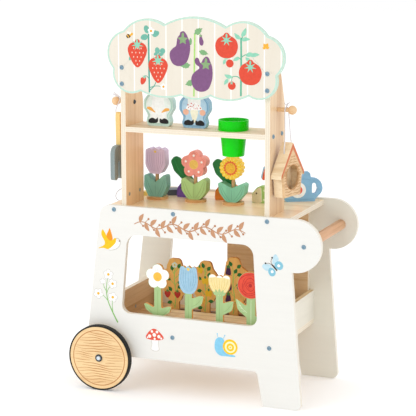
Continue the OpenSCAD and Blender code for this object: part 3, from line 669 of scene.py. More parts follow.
# the sign's own outline: corner as a share of the length, distance below the top, bulge
CLOUD = [(-0.404, 37, 20), (-0.173, 20, 20.5), (0.17, 21, 22), (0.398, 38, 29), (0.45, 127, 29),
    (0.297, 176, 11), (0.086, 180, 9), (-0.078, 182, 10), (-0.308, 176, 28), (-0.466, 126, 27)]
SIGN_X, SIGN_LENGTH, SIGN_TOP = 4.25, 442.0, 900.0


def sign_paint():
    """Cream boards with a white line every 40 mm, mint on the rim."""
    g = Graph("sign_paint", 0.42)
    soft = g.noise((40.0, 40.0, 5.0), 3.0)
    x = g.math("MULTIPLY", g.math("ADD", g.axis("Object", "X"), 0.407), 25.0)
    d = g.math("ABSOLUTE", g.math("SUBTRACT", g.math("FRACT", x), 0.5))
    line = g.math("LESS_THAN", d, 0.035)
    face = g.ramp(soft, [(0.3, rgb("#E6DFD1")), (0.75, rgb("#E1D9C9"))])
    face = g.mix(line, face, rgb("#FAF8F3"))
    g.base(g.mix(g.side("Y"), face, rgb("#B9DCCB")))
    g.rough_from(soft, 0.36, 0.5)
    g.bump(g.noise((700.0, 700.0, 30.0), 2.0), 0.0001, 0.4)
    return g.mat


def sign_board():
    """The cloud-shaped sign with its painted fruit and leaves."""
    give("sign_board", sign_paint())
    soften("sign_board", 0.0008, 2)
    face = front("sign_board", "frame")
    rim = lobed([(SIGN_X + x * SIGN_LENGTH, SIGN_TOP - z, h) for x, z, h in CLOUD])
    band("sign_rim", face, inset(rim, 0.9), inset(rim, 4.4), "#BDE0D0")

    red, mint, teal = "#DC4C36", "#8FD0B4", "#6FB3A0"
    berries = [(-139, 811), (-87, 777)]
    berry_half = [(0, 33), (5, 31), (7, 27), (18, 22), (24, 12), (23, 1), (18, -11), (12, -22), (5, -30),
        (0, -32)]
    small_berry = [(-126, 757), (-119.5, 758), (-117.5, 751), (-122, 743), (-128.5, 739.5), (-131.5, 746),
        (-130.5, 754)]
    tomatoes = [(82, 836), (139.5, 777.5)]
    tomato_half = [(0, 30), (5, 28), (8, 24), (22, 15), (27.5, 0), (23, -16), (13, -25), (0, -27.5)]
    reds = [smooth(mirrored(berry_half, x, z)) for x, z in berries]
    reds += [smooth(mirrored(tomato_half, x, z)) for x, z in tomatoes]
    reds += [smooth(small_berry), disc(90, 797, 9), disc(95, 747, 9.4)]
    motif("sign_red_fruit", face, reds, red, 3)

    seeds = []
    for cx, cz in berries:
        for i, row in enumerate(((12, 3), (2, 4), (-8, 3), (-17, 2), (-25, 1))):
            z, count = row
            for k in range(count):
                seeds.append(disc(cx + (k - (count - 1) / 2) * 9.5 + i % 2 * 1.0, cz + z, 1.15, 2.0, 0, 10))
    motif("sign_seeds", face, seeds, "#F8D8C4", 4)

    motif("sign_stem_teal", face, [stroke([(-110.5, 857), (-110, 800), (-109, 722)], 4.2),
        stroke([(-110, 776), (-100, 790), (-91, 806), (-88, 815)], 2.0, 1.6, 1.2),
        stroke([(-109, 752), (-116, 760), (-124, 758)], 2.0, 1.6, 1.2),
        stroke([(-109, 726), (-98, 737), (-92, 748)], 2.4, 2.0, 1.6),
        stroke([(-107, 734), (-92, 738), (-78, 737)], 2.0, 1.6, 1.2)], "#5FA593")
    motif("sign_teal_leaves", face, [leaf(-111, 858, 20, 13, 115), leaf(-112, 850, 19, 12, 190),
        leaf(-103, 855, 19, 12, 22, 2), disc(-115.5, 868, 6.5, 8.5, 20), disc(-121.5, 849.5, 9, 6.5, 20),
        disc(-92, 857.5, 9, 6, 35), disc(-88.5, 819.5, 6, 7.5, 15), disc(-75.5, 819, 6.5, 6.5),
        disc(-80, 811, 7, 4, 20), disc(-157, 800, 3, 6, -20), disc(-93, 812, 5, 3.4, 40)], teal, 2)
    motif("sign_mint_calyx", face, [star(-139, 831, 16, 5.6, 7, 90, 0.86),
        star(-87, 796.5, 16, 5.6, 7, 90, 0.86), star(82, 849, 15.5, 5, 7, 90, 0.9),
        star(139.5, 790.5, 15.5, 5, 7, 90, 0.9), disc(-140, 839, 2.4, 5), disc(-88, 805, 2.4, 5),
        disc(82, 859, 2.2, 5), disc(139.5, 800.5, 2.2, 5), star(-122, 757.5, 5.5, 2, 5, 70),
        star(94.5, 753, 5, 1.8, 5)], mint, 4)

    violet = "#7F5580"
    egg1 = [(-25, 866), (-19, 863), (-12, 851), (-8, 840), (-7, 827), (-9, 813), (-15, 797), (-24, 789),
        (-37, 786), (-50, 791), (-57, 804), (-57, 817), (-50, 826), (-42, 832), (-40, 842), (-38, 851),
        (-33, 857), (-31, 863)]
    egg2 = [(31, 810), (38, 808), (42, 800), (47, 787), (48, 766), (44, 749), (37, 736), (25, 730),
        (11, 731), (1, 739), (-4, 752), (-3, 764), (3, 773), (16, 784), (7, 792), (4, 800), (7, 806),
        (13, 806), (17, 797), (20, 795), (25, 804)]
    egg3 = [(17, 858), (21, 858), (23, 851), (26, 843), (24, 836), (19.5, 835), (16, 840), (15.5, 849)]
    motif("sign_violet_fruit", face, [smooth(egg1, 4), smooth(egg2, 4), smooth(egg3, 4)], violet, 3)
    motif("sign_lime_stem", face, [stroke([(4.5, 862), (3.5, 800), (2, 718)], 3.6),
        stroke([(4, 858), (10, 862), (16, 858)], 1.8, 1.5, 1.2)], "#A9D873")
    green = "#7FAE7A"
    motif("sign_green_leaves", face, [notched_leaf(3, 860, 25, 15, 35), notched_leaf(14, 822, 25, 13, -14),
        notched_leaf(-6, 790, 26, 14, 190), notched_leaf(3, 752, 24, 15, 200),
        notched_leaf(-9, 838, 12, 8, 60), disc(-6, 843, 3, 8)], green, 2)
    motif("sign_green_calyx", face, [star(-25, 847, 13.5, 6.6, 5, 90, 0.95),
        star(31.5, 791.5, 13.5, 6.6, 5, 90, 0.95), disc(-25, 857, 3.2, 6), disc(32, 801, 3.2, 6),
        star(19, 857, 4.5, 2, 5)], "#88A877", 4)
    motif("sign_green_stem", face, [stroke([(117, 856), (117.5, 800), (117, 724)], 4.2),
        stroke([(117, 806), (110, 812), (104, 810)], 2.2, 1.8, 1.4),
        stroke([(117, 762), (108, 768), (97, 767), (94, 757)], 2.2, 1.8, 1.4),
        stroke([(117, 848), (122, 862), (124, 868)], 2.2, 1.8, 1.4),
        stroke([(118, 812), (128, 818), (136, 815)], 2.2, 1.8, 1.4)], "#62B394")
    motif("sign_mint_leaves", face, [leaf(116, 853, 20, 9, 140, 1.5), leaf(118, 858, 23, 10, 62, -1.5),
        leaf(118, 850, 21, 9, 8, 1.5), leaf(113, 811, 17, 8, 205), leaf(84, 806, 14, 8, 130),
        leaf(79, 806, 13, 7, 250), leaf(128, 816, 22, 10, 8, 1.5), leaf(140, 815, 22, 9, 12, 1.5),
        leaf(128, 812, 18, 8, -40), leaf(96, 766, 20, 9, 165, 1.5), leaf(86, 762, 17, 8, 235),
        leaf(95, 756, 12, 6, 300)], mint, 2)
    motif("sign_blossoms", face, [blossom(-104, 864, 8.5, 5, 0.3), blossom(-73.8, 737, 7.5, 5, 0.3)],
        "#FDFCF7", 3)
    motif("sign_blossom_eyes", face, [disc(-104, 864, 3), disc(-73.8, 737, 2.8)], "#F4A62A", 4)
    # a small bee at the left and a yellow butterfly at the right
    motif("sign_bee_dark", face, [disc(-161, 851, 6.2, 5, 35)], "#3B3630")
    motif("sign_bee_yellow", face, [disc(-157.5, 853.5, 1.5, 4.6, 35), disc(-162.5, 850.2, 1.3, 4.8, 35),
        disc(-153.5, 855, 4, 3, 30), leaf(176, 836, 11, 8, 60), leaf(176, 835, 9, 7, 10),
        leaf(176, 836, 10, 7, 120), leaf(176, 834, 8, 6, 170)], "#F2B23C", 2)
    motif("sign_bee_wings", face, [disc(-157, 857.5, 3.6, 2.2, 60), disc(-162, 858, 3.4, 2, 100)],
        "#F6F3EA", 3)


def panel_prints():
    """Bird, flowers, mushroom, snail, butterfly and vine on the front panel."""
    face = front("front_panel", "frame")
    # bird
    motif("bird_body", face, [smooth([(-245, 343), (-232, 350), (-227, 356), (-229, 364), (-235, 374),
        (-236, 383), (-232.5, 389.5), (-228, 384), (-223, 376), (-218, 368), (-212, 367), (-207, 366),
        (-203, 370), (-199, 371), (-196, 368), (-198, 361), (-204, 354), (-212, 347), (-220, 342.5),
        (-231, 345)], 3)], "#FFC41E", 2)
    motif("bird_wing", face, [smooth([(-221, 371), (-222, 378), (-218, 386), (-214.5, 394), (-211, 386),
        (-208, 376), (-207, 367), (-214, 364)], 3)], "#F7971E", 3)
    motif("bird_belly", face, [smooth([(-197, 368), (-191, 367.5), (-188.5, 362), (-190, 354), (-197, 347),
        (-207, 343), (-217, 342.5), (-209, 349), (-202, 356), (-198, 362)], 3)], "#FFFFFF", 3)
    motif("bird_beak", face, [[(-191, 366.5), (-185.5, 365), (-190.5, 363)],
        disc(-194.6, 365.2, 0.9, n=10)], "#7A4A4E", 4)
    motif("bird_shade", face, [smooth([(-197, 371.5), (-189, 370.5), (-185.5, 363), (-187.5, 353),
        (-195.5, 345), (-206, 341), (-218, 340.5), (-209, 349), (-202, 356), (-198, 362)], 3)], "#D3D1C9")
    # sprig of white flowers
    motif("sprig_stems", face, [stroke([(-220, 277), (-223.5, 258), (-224.5, 238), (-220, 214), (-208, 188),
        (-195.5, 165)], 1.2, 2.2, 3.6), stroke([(-233, 259), (-230, 248), (-224.5, 240)], 1.0, 1.4, 1.8),
        stroke([(-211, 256), (-219, 246), (-224, 234)], 1.0, 1.4, 1.8),
        stroke([(-238, 230), (-230, 226), (-221.5, 217)], 1.0, 1.4, 1.8),
        stroke([(-208.6, 221), (-209.5, 205), (-208, 188)], 1.0, 1.4, 2.0)], "#86BC6A")
    heads = [(-219, 281, 12), (-208, 259, 11), (-246, 232, 12), (-208, 226, 11.5), (-234, 263, 6.5)]
    motif("sprig_shade", face, [blossom(x, z, r + 1.5, 5, 0.34, 90 + 20 * i)
        for i, (x, z, r) in enumerate(heads)], "#D3D1C9")
    motif("sprig_petals", face, [blossom(x, z, r, 5, 0.42, 90 + 20 * i)
        for i, (x, z, r) in enumerate(heads)], "#FFFFFF", 2)
    motif("sprig_eyes", face, [disc(x, z, 3.4) for x, z, r in heads[:4]], "#F5B83C", 3)
    # mushroom
    motif("mushroom_cap", face, [smooth([(-121.5, 135), (-121, 141), (-114, 151), (-104, 158.5), (-95, 158),
        (-84, 150), (-77, 142), (-76.5, 136.5), (-84, 133), (-99, 131), (-114, 132)], 4)], "#E25A45", 2)
    spots = [(-100, 144, 4.6), (-112, 140, 4.2), (-88, 141, 4.2), (-106, 152, 3.2), (-93, 152, 3.4),
        (-99, 134.5, 2.8), (-82, 137, 2.4), (-117.5, 136.5, 2)]
    motif("mushroom_spots", face, [disc(x, z, r, n=14) for x, z, r in spots], "#FBF7F2", 3)
    motif("mushroom_shade", face, [smooth([(-107, 133), (-90, 133), (-89.3, 120), (-87, 108), (-98, 103.5),
        (-109.5, 108), (-106.8, 120)], 4)], "#D9D6CE", 0)
    motif("mushroom_stem", face, [smooth([(-105, 133), (-92, 133), (-91, 120), (-89, 109), (-98, 105.5),
        (-107.5, 109), (-105, 120)], 4)], "#FFFFFF")
    # snail
    motif("snail_body", face, [smooth([(62, 154), (70, 156), (77, 152), (79, 143), (76, 134), (80, 126),
        (90, 119), (105, 115), (104, 112), (86, 111.5), (70, 111.5), (60, 117), (55, 127), (54.5, 139),
        (57, 149)], 4)], "#86CBEA", 2)
    motif("snail_horns", face, [stroke([(64, 152), (62, 158), (61, 163)], 1.2), disc(61, 163.5, 1.6, n=10),
        stroke([(74, 151), (78, 157), (80, 161)], 1.2), disc(80, 161.5, 1.6, n=10)], "#86CBEA")
    rings = (("shell", 93.5, 135, 18.5, 36), ("ring", 93.8, 134.6, 13.6, 32), ("coil", 94, 134.3, 9.4, 28),
        ("hub", 94, 134.2, 4.6, 20), ("dot", 94, 134.2, 2, 14))
    for i, (part, x, z, radius, n) in enumerate(rings):
        colour = "#FFF3C2" if i % 2 else "#FFC81E"
        motif("snail_" + part, face, [disc(x, z, radius, n=n)], colour, 3 + i)
    # butterfly
    motif("butterfly_upper", face, [smooth([(197, 342), (197, 352), (199, 362), (204.5, 366), (209, 361),
        (211.5, 354), (205, 346)], 4), smooth([(194, 339), (186, 341), (176, 341), (171.5, 335), (176, 329),
        (184, 325), (191, 331)], 4)], "#BFDDE9")
    motif("butterfly_lower", face, [smooth([(203, 345), (209, 350), (217, 349), (222.5, 342), (221, 334),
        (215, 330), (208, 332), (202, 337)], 4), smooth([(192, 334), (187, 328), (187, 321), (192, 314.5),
        (199, 314), (204, 319), (204, 326), (199, 332)], 4)], "#86C2D6", 2)
    motif("butterfly_spots", face, [disc(212, 339.8, 3.4, n=16), disc(196.2, 324.6, 3.4, n=16)], "#FFFFFF",
        3)
    motif("butterfly_body", face, [stroke([(195.5, 341), (202, 334.5), (208, 328)], 3.0, 3.6, 3.0),
        stroke([(196, 341), (193, 348), (195.6, 356)], 0.8), disc(195.8, 357.2, 2, n=12),
        stroke([(195, 340.5), (188, 343.5), (181, 342.8)], 0.8), disc(179.8, 342.8, 2, n=12)], "#2B2A2A", 4)
    # generic vine in the place of the lettering
    vine, leaves, berries = [], [], []
    pts = [(-150 + 14 * i, 409 + 7 * math.sin(i * 1.1)) for i in range(21)]
    vine.append(stroke(pts, 2.0, 3.0, 2.0))
    for i in range(1, 20):
        x, z = pts[i]
        side = 1 if i % 2 else -1
        leaves.append(leaf(x, z, 23, 10, side * (62 - 18 * (i % 3 == 0)), side * 1.5))
        berries.append(disc(x + 9, z - side * 9, 2.6, n=14))
        vine.append(stroke([(x, z), (x + 5, z - side * 5), (x + 9, z - side * 9)], 1.4))
    motif("garland_vine", face, vine, "#C08E6C")
    motif("garland_leaves", face, leaves, "#C4926F", 2)
    motif("garland_berries", face, berries, "#B57F5B", 3)


def wheels():
    """Pine wheels with a burnt ring and grain lines, and rubber tyres."""
    for n, out in (("front_wheel", -1), ("rear_wheel", 1)):
        give(n, wood(n + "_pine", "#F0CF9B", "#DDAE74", "X", 0.48, 0.5))
        soften(n, 0.0012, 3)
        lo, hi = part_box(n)
        face = Plane(((lo.x + hi.x) / 2, lo.y if out < 0 else hi.y, (lo.z + hi.z) / 2), (-out, 0, 0),
            body=n, slot=n)
        colour = "#C08450"
        band(n + "_ring", face, disc(0, 0, 68.5, n=72), disc(0, 0, 66.4, n=72), colour, 0)
        lines = []
        for i in range(20):
            z = -60 + 6.3 * i
            half = math.sqrt(max(0.0, 66.0 ** 2 - z * z))
            a = -half * (0.97 if i % 3 else 0.72)
            b = half * (0.97 if i % 4 else 0.66)
            pts = []
            for k in range(9):
                x = a + (b - a) * k / 8
                wave = 1.9 * math.sin(0.055 * x + i * 0.5) + 0.8 * math.sin(0.13 * x + i * 1.3)
                pts.append((x, z + wave))
            if abs(z) < 12 and a < -12 and b > 12:
                lines.append(stroke([p for p in pts if p[0] < -12] or pts[:2], 0.5, 1.5, 0.5))
                right = [p for p in pts if p[0] > 12]
                if len(right) > 1:
                    lines.append(stroke(right, 0.5, 1.3, 0.5))
            else:
                lines.append(stroke(pts, 0.5, 1.9, 0.5))
        motif(n + "_grain", face, lines, colour, 0)
    for n in ("front_tyre", "rear_tyre"):
        give(n, rubber(n + "_rubber", "#0C0C0D"))
        soften(n, 0.0005, 2)


# ---------------------------------------------------------------- toys in the planter

def board(node, colour):
    give(node, paint(node + "_paint", colour, "Z", 0.45, 0.08, "Y", BOARD_EDGE))
    soften(node, 0.0009, 2)


def planter_flowers():
    """The four flat flowers that stand in the planter."""
    green = "#A9C68A"
    # daisy
    board("daisy_board", green)
    f = front("daisy_board", "daisy", -0.1005, PLANTER_SLOT_Z)
    motif("daisy_petals", f, [moved(petals(5, 30.3, 7.6), 0, 121)], "#FBFAF6")
    turns = [math.radians(90 + 72 * k + d) for k in range(5) for d in (-16, 0, 16)]
    motif("daisy_lines", f, [stroke([polar(13, a, 0, 121), polar(21, a, 0, 121)], 0.5, 1.0, 0.4)
        for a in turns], "#DEDCD6", 2)
    motif("daisy_eye", f, [disc(0, 121, 11)], "#F4BC48", 3)
    motif("daisy_veins", f, [stroke([(0, 8), (0, 50), (0, 88)], 0.7, 1.2, 0.6),
        stroke([(-6, 26), (-20, 36), (-32, 50)], 0.5, 1.0, 0.4),
        stroke([(6, 24), (20, 34), (32, 47)], 0.5, 1.0, 0.4)], VEIN_GREEN)
    # blue tulip
    board("blue_tulip_board", green)
    f = front("blue_tulip_board", "blue_tulip", -0.0215, PLANTER_SLOT_Z)
    head = smooth(mirrored([(0, 154), (4, 151), (8, 148.5), (12, 152), (17.5, 151.8), (20.6, 149),
        (22.5, 138), (24.2, 122), (22.5, 105), (17, 94), (9, 87.5)]), 3)
    motif("blue_tulip_head", f, [head], "#A0C5DA")
    motif("blue_tulip_lines", f, [stroke([(x * 0.35, 92), (x, 118), (x * 0.85, 145)], 0.6, 1.3, 0.5)
        for x in (-19, -13, -7, 0, 7, 13, 19)], "#7FAFCB", 2)
    motif("blue_tulip_dot", f, [disc(0, 146, 3.6)], "#F1CB62", 3)
    motif("blue_tulip_veins", f, [stroke([(0, 8), (0, 45), (0, 82)], 0.7, 1.2, 0.6),
        stroke([(8, 56), (22, 64), (36, 81)], 0.5, 1.0, 0.4)], VEIN_GREEN)
    # yellow tulip
    board("yellow_tulip_board", green)
    f = front("yellow_tulip_board", "yellow_tulip", 0.0575, PLANTER_SLOT_Z)
    head = smooth(mirrored([(0, 138.4), (4, 137), (8, 134.5), (13, 139), (20, 139.3), (25.5, 136),
        (27.3, 127), (26, 116), (20, 103), (9, 91)]), 3)
    motif("yellow_tulip_head", f, [head], "#F0DC9E")
    tip = [(25.5, 131), (24.5, 136), (19.5, 139), (13, 138.5), (9.5, 134.5), (15, 133), (21, 132)]
    middle = [(-7, 133.8), (-4, 137), (0, 138.2), (4, 137), (7, 133.8), (0, 132.5)]
    tips = [smooth([(-x, z) for x, z in tip], 4), smooth(middle, 4), smooth(tip, 4)]
    motif("yellow_tulip_tips", f, tips, "#FBF8EF", 2)
    motif("yellow_tulip_lines", f, [stroke([(x * 0.3, 98), (x * 0.8, 112), (x, 130)], 0.6, 1.2, 0.5)
        for x in (-21, -14, -7, 0, 7, 14, 21)], "#E3C777", 2)
    motif("yellow_tulip_sepals", f, [leaf(0, 88, 19, 7, 90), leaf(-4, 89, 17, 7, 112),
        leaf(4, 89, 17, 7, 68), leaf(-7, 90, 13, 6, 138), leaf(7, 90, 13, 6, 42)], green, 3)
    motif("yellow_tulip_veins", f, [stroke([(0, 8), (0, 45), (0, 86)], 0.7, 1.2, 0.6),
        stroke([(8, 50), (20, 58), (33, 75)], 0.5, 1.0, 0.4)], VEIN_GREEN)
    # rose
    board("rose_board", green)
    f = front("rose_board", "rose", 0.1355, PLANTER_SLOT_Z)
    motif("rose_head", f, [disc(-1, 121, 31.2, n=60)], "#E2503A")
    rings = []
    for r, a0 in ((27.5, 20), (24, 200), (20, 80), (16, 300), (12, 130), (8, 10)):
        turns = [k * 0.6 for k in range(9)]
        pts = [polar(r + 1.5 * math.sin(3 * t), math.radians(a0) + t, -1, 121) for t in turns]
        rings.append(stroke(pts, 0.6, 1.9, 0.6))
    motif("rose_rings", f, rings, "#BF2F28", 2)
    motif("rose_core", f, [disc(-1, 121, 4.5)], "#B42E2A", 3)
    veins = [stroke([(-9, 55), (-22, 66), (-34, 84)], 0.6, 1.2, 0.5)]
    for k in range(3):
        twig = [(-14 - 5 * k, 59 + 6 * k), (-19 - 5 * k, 58 + 6.5 * k), (-23 - 4 * k, 60 + 7 * k)]
        veins.append(stroke(twig, 0.4, 0.9, 0.3))
    veins.append(stroke([(1, 8), (1, 45), (1, 86)], 0.7, 1.2, 0.6))
    motif("rose_veins", f, veins, "#DDE8C8")


def trees():
    """The three fruit trees behind them."""
    tan, leafy, lime = "#F2B866", "#2F7434", "#AECB62"
    places = {"berry_tree": (-0.0985, [(-10, 119, 100), (15, 126, 60), (18, 110, 20), (-13, 68, 130),
        (14, 76, 40), (-18, 96, 160), (12, 92, -10), (-12, 42, 200)]),
        "pepper_tree": (-0.0185, [(-5, 132, 110), (9, 127, 50), (-16, 104, 160), (18, 90, 20),
        (-15, 77, 190), (15, 52, 0), (-12, 36, 200), (14, 110, 70)]),
        "aubergine_tree": (0.0545, [(-7, 143, 120), (4, 126, 60), (16, 122, 20), (-17, 82, 170),
        (12, 98, 10), (14, 60, -20), (-12, 48, 190), (16, 140, 40)])}
    for n, (x, leaves) in places.items():
        give(n, paint(n + "_paint", tan, "Z", 0.5, 0.1, "Y", "#D28B42"))
        soften(n, 0.0008, 2)
        f = front(n, n, x, TREE_SLOT_Z)
        motif(n + "_vine", f, [stroke([(0, 24), (3, 60), (-1, 96), (1, 130)], 2.4)]
            + [stroke([(0, lz - 14), (lx * 0.5, lz - 5), (lx * 0.9, lz)], 1.4) for lx, lz, a in leaves],
            lime)
        motif(n + "_leaves", f, [notched_leaf(lx * 0.55, lz - 3, 15, 10, a) for lx, lz, a in leaves], leafy,
            2)
    calyx = "#4E8A44"
    f = front("berry_tree", "berry_tree", places["berry_tree"][0], TREE_SLOT_Z)
    berry = mirrored([(0, 8), (7, 6), (8, 0), (3, -8), (0, -9)])
    spots = [(-19, 57), (7, 58), (19, 90)]
    motif("berry_tree_fruit", f, [smooth(moved(berry, x, z), 3) for x, z in spots], "#C23A30", 3)
    motif("berry_tree_calyx", f, [star(x, z + 8, 6, 2, 5) for x, z in spots], calyx, 4)
    motif("berry_tree_blossom", f, [blossom(0, 131, 7.5)], "#DCE3D2", 3)
    motif("berry_tree_eye", f, [disc(0, 131, 2.4, n=12)], "#E8C24A", 4)
    f = front("pepper_tree", "pepper_tree", places["pepper_tree"][0], TREE_SLOT_Z)
    pepper = [(-6, 8), (-9, 2), (-6, -8), (0, -6), (5, -9), (9, 0), (6, 8), (0, 6)]
    spots = [(0, 98), (9, 68), (-10, 50), (-15, 124)]
    motif("pepper_tree_fruit", f, [smooth(moved(pepper, x, z), 3) for x, z in spots], "#EDBE2C", 3)
    motif("pepper_tree_calyx", f, [disc(x, z + 9, 2.6, 3.6, n=12) for x, z in spots], calyx, 4)
    f = front("aubergine_tree", "aubergine_tree", places["aubergine_tree"][0], TREE_SLOT_Z)
    aubergine = [(-3, 11), (3, 11), (6, 0), (6, -9), (0, -14), (-7, -9), (-6, 0)]
    spots = [(-13, 129), (-11, 93), (-13, 62), (17, 96)]
    motif("aubergine_tree_fruit", f, [smooth(moved(aubergine, x, z), 4) for x, z in spots], "#4A2850", 3)
    motif("aubergine_tree_calyx", f, [star(x, z + 10, 6, 3, 5) for x, z in spots], calyx, 4)


# ---------------------------------------------------------------- toys on the counter and shelf

def block(node, colour, axis="Z", width=0.0022, stem=None, rough=0.42, depth=0.1):
    """A thick painted toy with well rounded edges."""
    give(node, paint(node + "_paint", colour, axis, rough, depth, stem=stem))
    soften(node, width, 3, 40)


def leaf_lines(name, f, inner, outer, mid, top, colour):
    """Brushed lines on a pair of leaves: two on each side and one up the middle."""
    rows = [stroke([(s * x, z) for x, z in inner], 0.6, 1.3, 0.5) for s in (-1, 1)]
    rows += [stroke([(s * x, z) for x, z in outer], 0.6, 1.2, 0.5) for s in (-1, 1)]
    motif(name, f, rows + [stroke([(0, 4), (0, mid), (0, top)], 0.6, 1.2, 0.5)], colour, 0)


def counter_flowers():
    """The three thick flowers on the counter."""
    leaf_z = COUNTER_Z + 0.006  # the leaves stand on bases 6 mm thick
    tulip_x, pink_x, sun_x = -0.1529, -0.0521, 0.0452
    block("tulip_bloom", "#D6C2DA", stem=0.5065)
    block("tulip_leaves", "#83BBAA")
    block("pink_bloom", "#F29A8C", stem=0.5045)
    block("pink_leaves", "#ACCF86")
    block("sun_bloom", "#FFD23E", stem=0.5050)
    block("sun_leaves", "#86CCAC")
    block("pink_back_leaf", "#1E7A3A", "Z", 0.0012)
    block("sun_back_leaf", "#1E7A3A", "Z", 0.0012)
    for n in ("tulip_base", "pink_base", "sun_base"):
        give(n, wood(n + "_pine", "#E2B47C", "#C68F54", "X", 0.5, 1.0))
        soften(n, 0.001, 3)
    # tulip
    f = front("tulip_bloom", "tulip_head", tulip_x, leaf_z + 0.056)
    motif("tulip_lines", f, [stroke([(x * 0.55, 6), (x, 30), (x * 0.92, 54)], 0.7, 1.4, 0.6)
        for x in (-20, -14.5, -8.5, -3, 3, 8.5, 14.5, 20)], "#B7A0BE", 0)
    motif("tulip_dot", f, [disc(0, 54, 3)], "#E6C45C")
    f = front("tulip_leaves", "tulip_plant", tulip_x, leaf_z)
    leaf_lines("tulip_leaf_lines", f, [(6, 4), (14, 20), (24, 46)],
        [(11, 4), (21, 22), (26.5, 46)], 18, 31, "#6A9C8C")
    # pink flower
    f = front("pink_bloom", "pink_head", pink_x, leaf_z + 0.085)
    turns = [math.radians(90 + 72 * k) for k in range(5)]
    motif("pink_lines", f, [
        stroke([polar(r, a - 0.36), polar(r * 1.12, a), polar(r, a + 0.36)], 0.5, 1.2, 0.5)
        for r in (19, 25) for a in turns], "#D07F73", 0)
    dots = [polar(21.5, math.radians(a)) for a in (90, 18, 162, -54, -126)]
    motif("pink_dots", f, [disc(*dot, 2.8) for dot in dots], "#FBF4EE")
    motif("pink_eye", f, [disc(0, 0, 11.5)], "#EFC766")
    motif("pink_eye_rings", f, [stroke([polar(r, k * 0.7) for k in range(9)], 0.5, 0.9, 0.5)
        for r in (8.5, 5, 2)], "#D9A845", 2)
    f = front("pink_leaves", "pink_plant", pink_x, leaf_z)
    leaf_lines("pink_leaf_lines", f, [(5, 4), (15, 20), (25, 44)],
        [(12, 4), (23, 20), (29, 44)], 18, 32, "#8EAD6B")
    # sunflower
    f = front("sun_bloom", "sun_head", sun_x - 0.003, leaf_z + 0.082)
    turns = [math.radians(90 + 22.5 * k) for k in range(16)]
    motif("sun_lines", f, [stroke([polar(20, a), polar(23, a), polar(26, a)], 1.6, 2.2, 1.0)
        for a in turns], "#FFE680", 0)
    motif("sun_ring", f, [star(0, 0, 18.5, 15.2, 16, 90)], "#E86E3A")
    motif("sun_eye", f, [disc(0, 0, 12.4)], "#F8C23C", 2)
    golden = 2.399  # the golden angle, which spirals seeds evenly
    seeds = [polar(2.1 * math.sqrt(k), k * golden) for k in range(1, 26)]
    motif("sun_seeds", f, [disc(*seed, 0.9, n=8) for seed in seeds], "#D6912C", 3)
    f = front("sun_leaves", "sun_plant", sun_x, leaf_z)
    leaf_lines("sun_leaf_lines", f, [(5, 4), (16, 18), (28, 40)],
        [(12, 4), (24, 20), (31, 40)], 16, 30, "#6CAA8E")
    for n, x, body in (("pink_back_leaf", pink_x, "pink_plant"),
            ("sun_back_leaf", sun_x + 0.011, "sun_plant")):
        f = front(n, body, x, leaf_z)
        motif(n + "_vein", f, [stroke([(-34, 48), (-50, 66), (-60, 88)], 0.7, 1.6, 0.6)], "#2F9450", 0)


